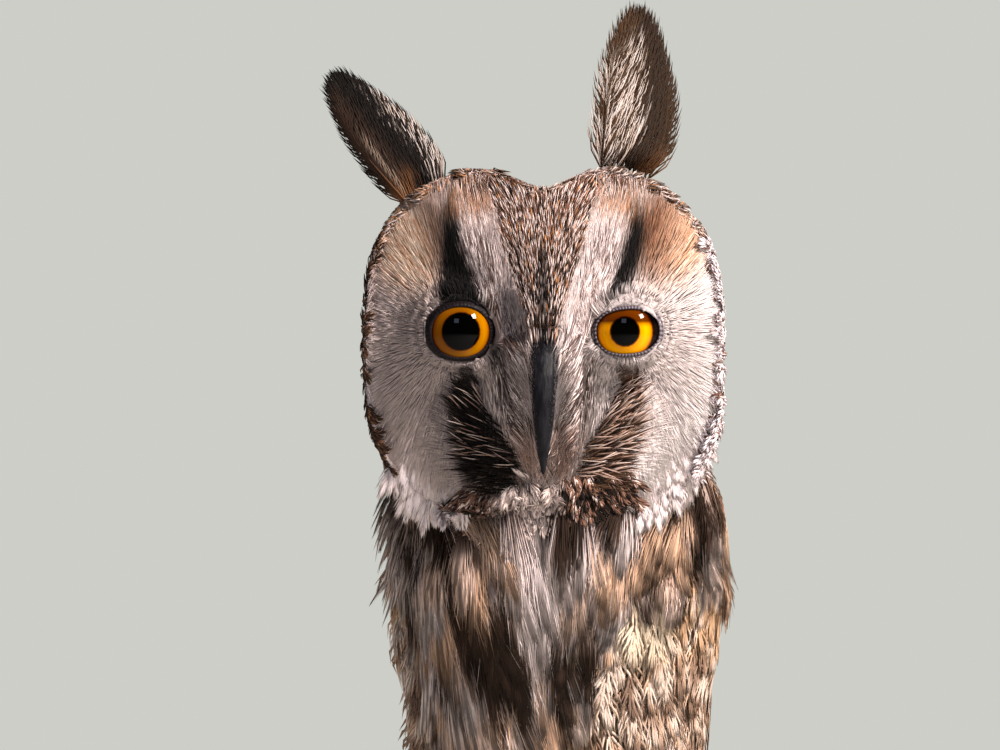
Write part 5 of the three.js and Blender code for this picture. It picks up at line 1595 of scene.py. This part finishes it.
TAIL_FEATHER = feather_kind(80, 0.17, 0.55, blunt=4.0, ragged=0.2)
tail = lay("tail_feathers", TAIL_FEATHER, line[:, 0], up[:, 0], up[:, 0], 105.0, 20.5,
           lambda u, v, p: quill_paint(u, v, p, tone, fleck), line=(line, up), camber=0.1)
finish_piece(tail, plumage, "flight_plumage")

# %% [markdown]
# The owl grips a cut length of pine branch. Its bark is grey-brown and cracked into flat plates that are
# longer along the branch, and the sawn ends show pale wood with rings. The pattern is laid out along the
# branch, so its coordinates are turned with the body.

# %% Branch
PERCH_HALF = 94
PERCH_AXIS_Z = 117
branch = remeshed("branch", ["perch"], 1.1, 2)
lumps = bpy.data.textures.new("bark_lumps", "CLOUDS")
lumps.noise_scale = 12 * MM
modify(branch, "DISPLACE", texture=lumps, strength=2 * MM, mid_level=0.5, texture_coords="LOCAL")
bark, tree, shader = new_material("pine_bark", 0.9, Specular_IOR_Level=0.2)
along = placed(tree, object_place(tree), rotation=(0, 0, -BODY_TURN))
stretched = placed(tree, along, scale=(0.3, 1, 1))
rough = noise(tree, stretched, scale=260.0, detail=6.0)
ragged = vector_node(tree, "MULTIPLY_ADD", rough.outputs["Color"], (0.004, 0.004, 0.004), stretched)
plates = add_node(tree, "ShaderNodeTexVoronoi", {"Vector": ragged.outputs["Vector"], "Scale": 125.0},
                  feature="DISTANCE_TO_EDGE")
crack = ranged(tree, plates.outputs["Distance"], "SMOOTHSTEP", from_max=0.14)
plate_colours = ramp(tree, rough.outputs["Fac"], (0.32, "#685a51"), (0.68, "#a3988f"))
bark_colour = blended(tree, crack, rgba("#43362d"), plate_colours)
from_middle = add_node(tree, "ShaderNodeSeparateXYZ", {"Vector": along}).outputs["X"]
sawn = ranged(tree, reckoned(tree, "ABSOLUTE", from_middle), from_min=(PERCH_HALF - 1.6) * MM,
              from_max=(PERCH_HALF - 1.2) * MM)
crosswise = vector_node(tree, "MULTIPLY", along, (0, 1, 1)).outputs["Vector"]
from_axis = vector_node(tree, "ADD", crosswise, (0, 8 * MM, -PERCH_AXIS_Z * MM)).outputs["Vector"]
radius = vector_node(tree, "LENGTH", from_axis).outputs["Value"]
rings = reckoned(tree, "SINE", reckoned(tree, "MULTIPLY", radius, 2600.0))
wood = blended(tree, ranged(tree, rings, from_min=-1.0), rgba("#937f69"), rgba("#a6947e"))
rise = reckoned(tree, "ADD", crack, rough.outputs["Fac"])
height = reckoned(tree, "MULTIPLY", rise, reckoned(tree, "SUBTRACT", 1.0, sawn))
tree.links.new(blended(tree, sawn, bark_colour, wood), shader.inputs["Base Color"])
raise_bumps(tree, shader, height, strength=0.8, distance=1.2 * MM)
finish_piece(branch, bark, "bark", "perch")

# %% [markdown]
# The display stand is a turned disc of dark stained wood with a rounded edge and two steel rods.

# %% Stand
BASE_RADIUS = 92
BASE_HEIGHT = 12
stained, tree, shader = new_material("stained_beech", 0.45, Coat_Weight=0.25, Coat_Roughness=0.25)
stretched = placed(tree, object_place(tree), scale=(14, 120, 120))
wood_grain = noise(tree, stretched, scale=3.0, detail=5.0).outputs["Fac"]
tree.links.new(ramp(tree, wood_grain, (0, "#1f1712"), (1, "#4b3a2e")), shader.inputs["Base Color"])
bpy.ops.mesh.primitive_cylinder_add(vertices=128, radius=BASE_RADIUS * MM, depth=BASE_HEIGHT * MM,
                                    location=(0, 0, BASE_HEIGHT / 2 * MM))
base = bpy.context.object
base.name = "base"
bpy.ops.object.transform_apply(location=True)
modify(base, "BEVEL", width=2.4 * MM, segments=4, limit_method="ANGLE")
bpy.ops.object.shade_smooth_by_angle(angle=math.radians(35))
finish_piece(base, stained, "plinth", "stand_base")
steel, tree, shader = new_material("brushed_steel", 0.32, Metallic=1.0)
shader.inputs["Base Color"].default_value = rgba("#8f9194")
for side in SIDES.values():
    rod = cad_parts["stand_rod_" + side]
    rod.data.materials.clear()
    rod.data.materials.append(steel)

# %% [markdown]
# The floor is pale paper that fades into the backdrop for the camera, so that no horizon shows. A warm soft
# key light stands to the bird's left, a weak cool one in front and one behind, and the room adds little.

# %% Light and floor
BACKGROUND = "#cdcec8"
bpy.ops.mesh.primitive_circle_add(vertices=64, radius=30, fill_type="NGON")
floor = bpy.context.object
floor.name = "floor"
floor_paper, tree, shader = new_material("floor_paper", 0.9)
shader.inputs["Base Color"].default_value = rgba("#d3d3ce")
away = vector_node(tree, "LENGTH", object_place(tree)).outputs["Value"]
fade = ranged(tree, away, "SMOOTHSTEP", from_min=0.8, from_max=4.0)
seen = reckoned(tree, "MULTIPLY", fade, add_node(tree, "ShaderNodeLightPath").outputs["Is Camera Ray"])
glow = add_node(tree, "ShaderNodeEmission", {"Color": rgba(BACKGROUND), "Strength": 1.0})
blend = add_node(tree, "ShaderNodeMixShader",
                 {0: seen, 1: shader.outputs["BSDF"], 2: glow.outputs["Emission"]})
tree.links.new(blend.outputs["Shader"], tree.nodes["Material Output"].inputs["Surface"])
floor.data.materials.append(floor_paper)


def softbox(name, place, target, size, power, hex_code):
    data = bpy.data.lights.new(name, "AREA")
    data.size = size
    data.energy = power
    data.color = colour(hex_code)
    lamp = new_object(name, data)
    lamp.location = place
    lamp.rotation_euler = (Vector(target) - Vector(place)).to_track_quat("-Z", "Y").to_euler()


softbox("key", (1.35, -0.95, 1.75), (0, 0, 0.3), 0.45, 112, "#fff6f1")
softbox("sky", (-0.3, -1.9, 1.5), (0, 0, 0.3), 0.5, 5.5, "#d8e0ff")
softbox("back", (0.5, 1.4, 1.3), (0, 0, 0.25), 0.8, 12, "#ffffff")
world = bpy.data.worlds.new("studio")
bpy.context.scene.world = world
world.use_nodes = True
tree = world.node_tree
background = tree.nodes["Background"]
background.inputs["Color"].default_value = rgba(BACKGROUND)
to_camera = add_node(tree, "ShaderNodeLightPath").outputs["Is Camera Ray"]
tree.links.new(ranged(tree, to_camera, to_min=0.16), background.inputs["Strength"])
bpy.context.scene.view_settings.view_transform = "Standard"
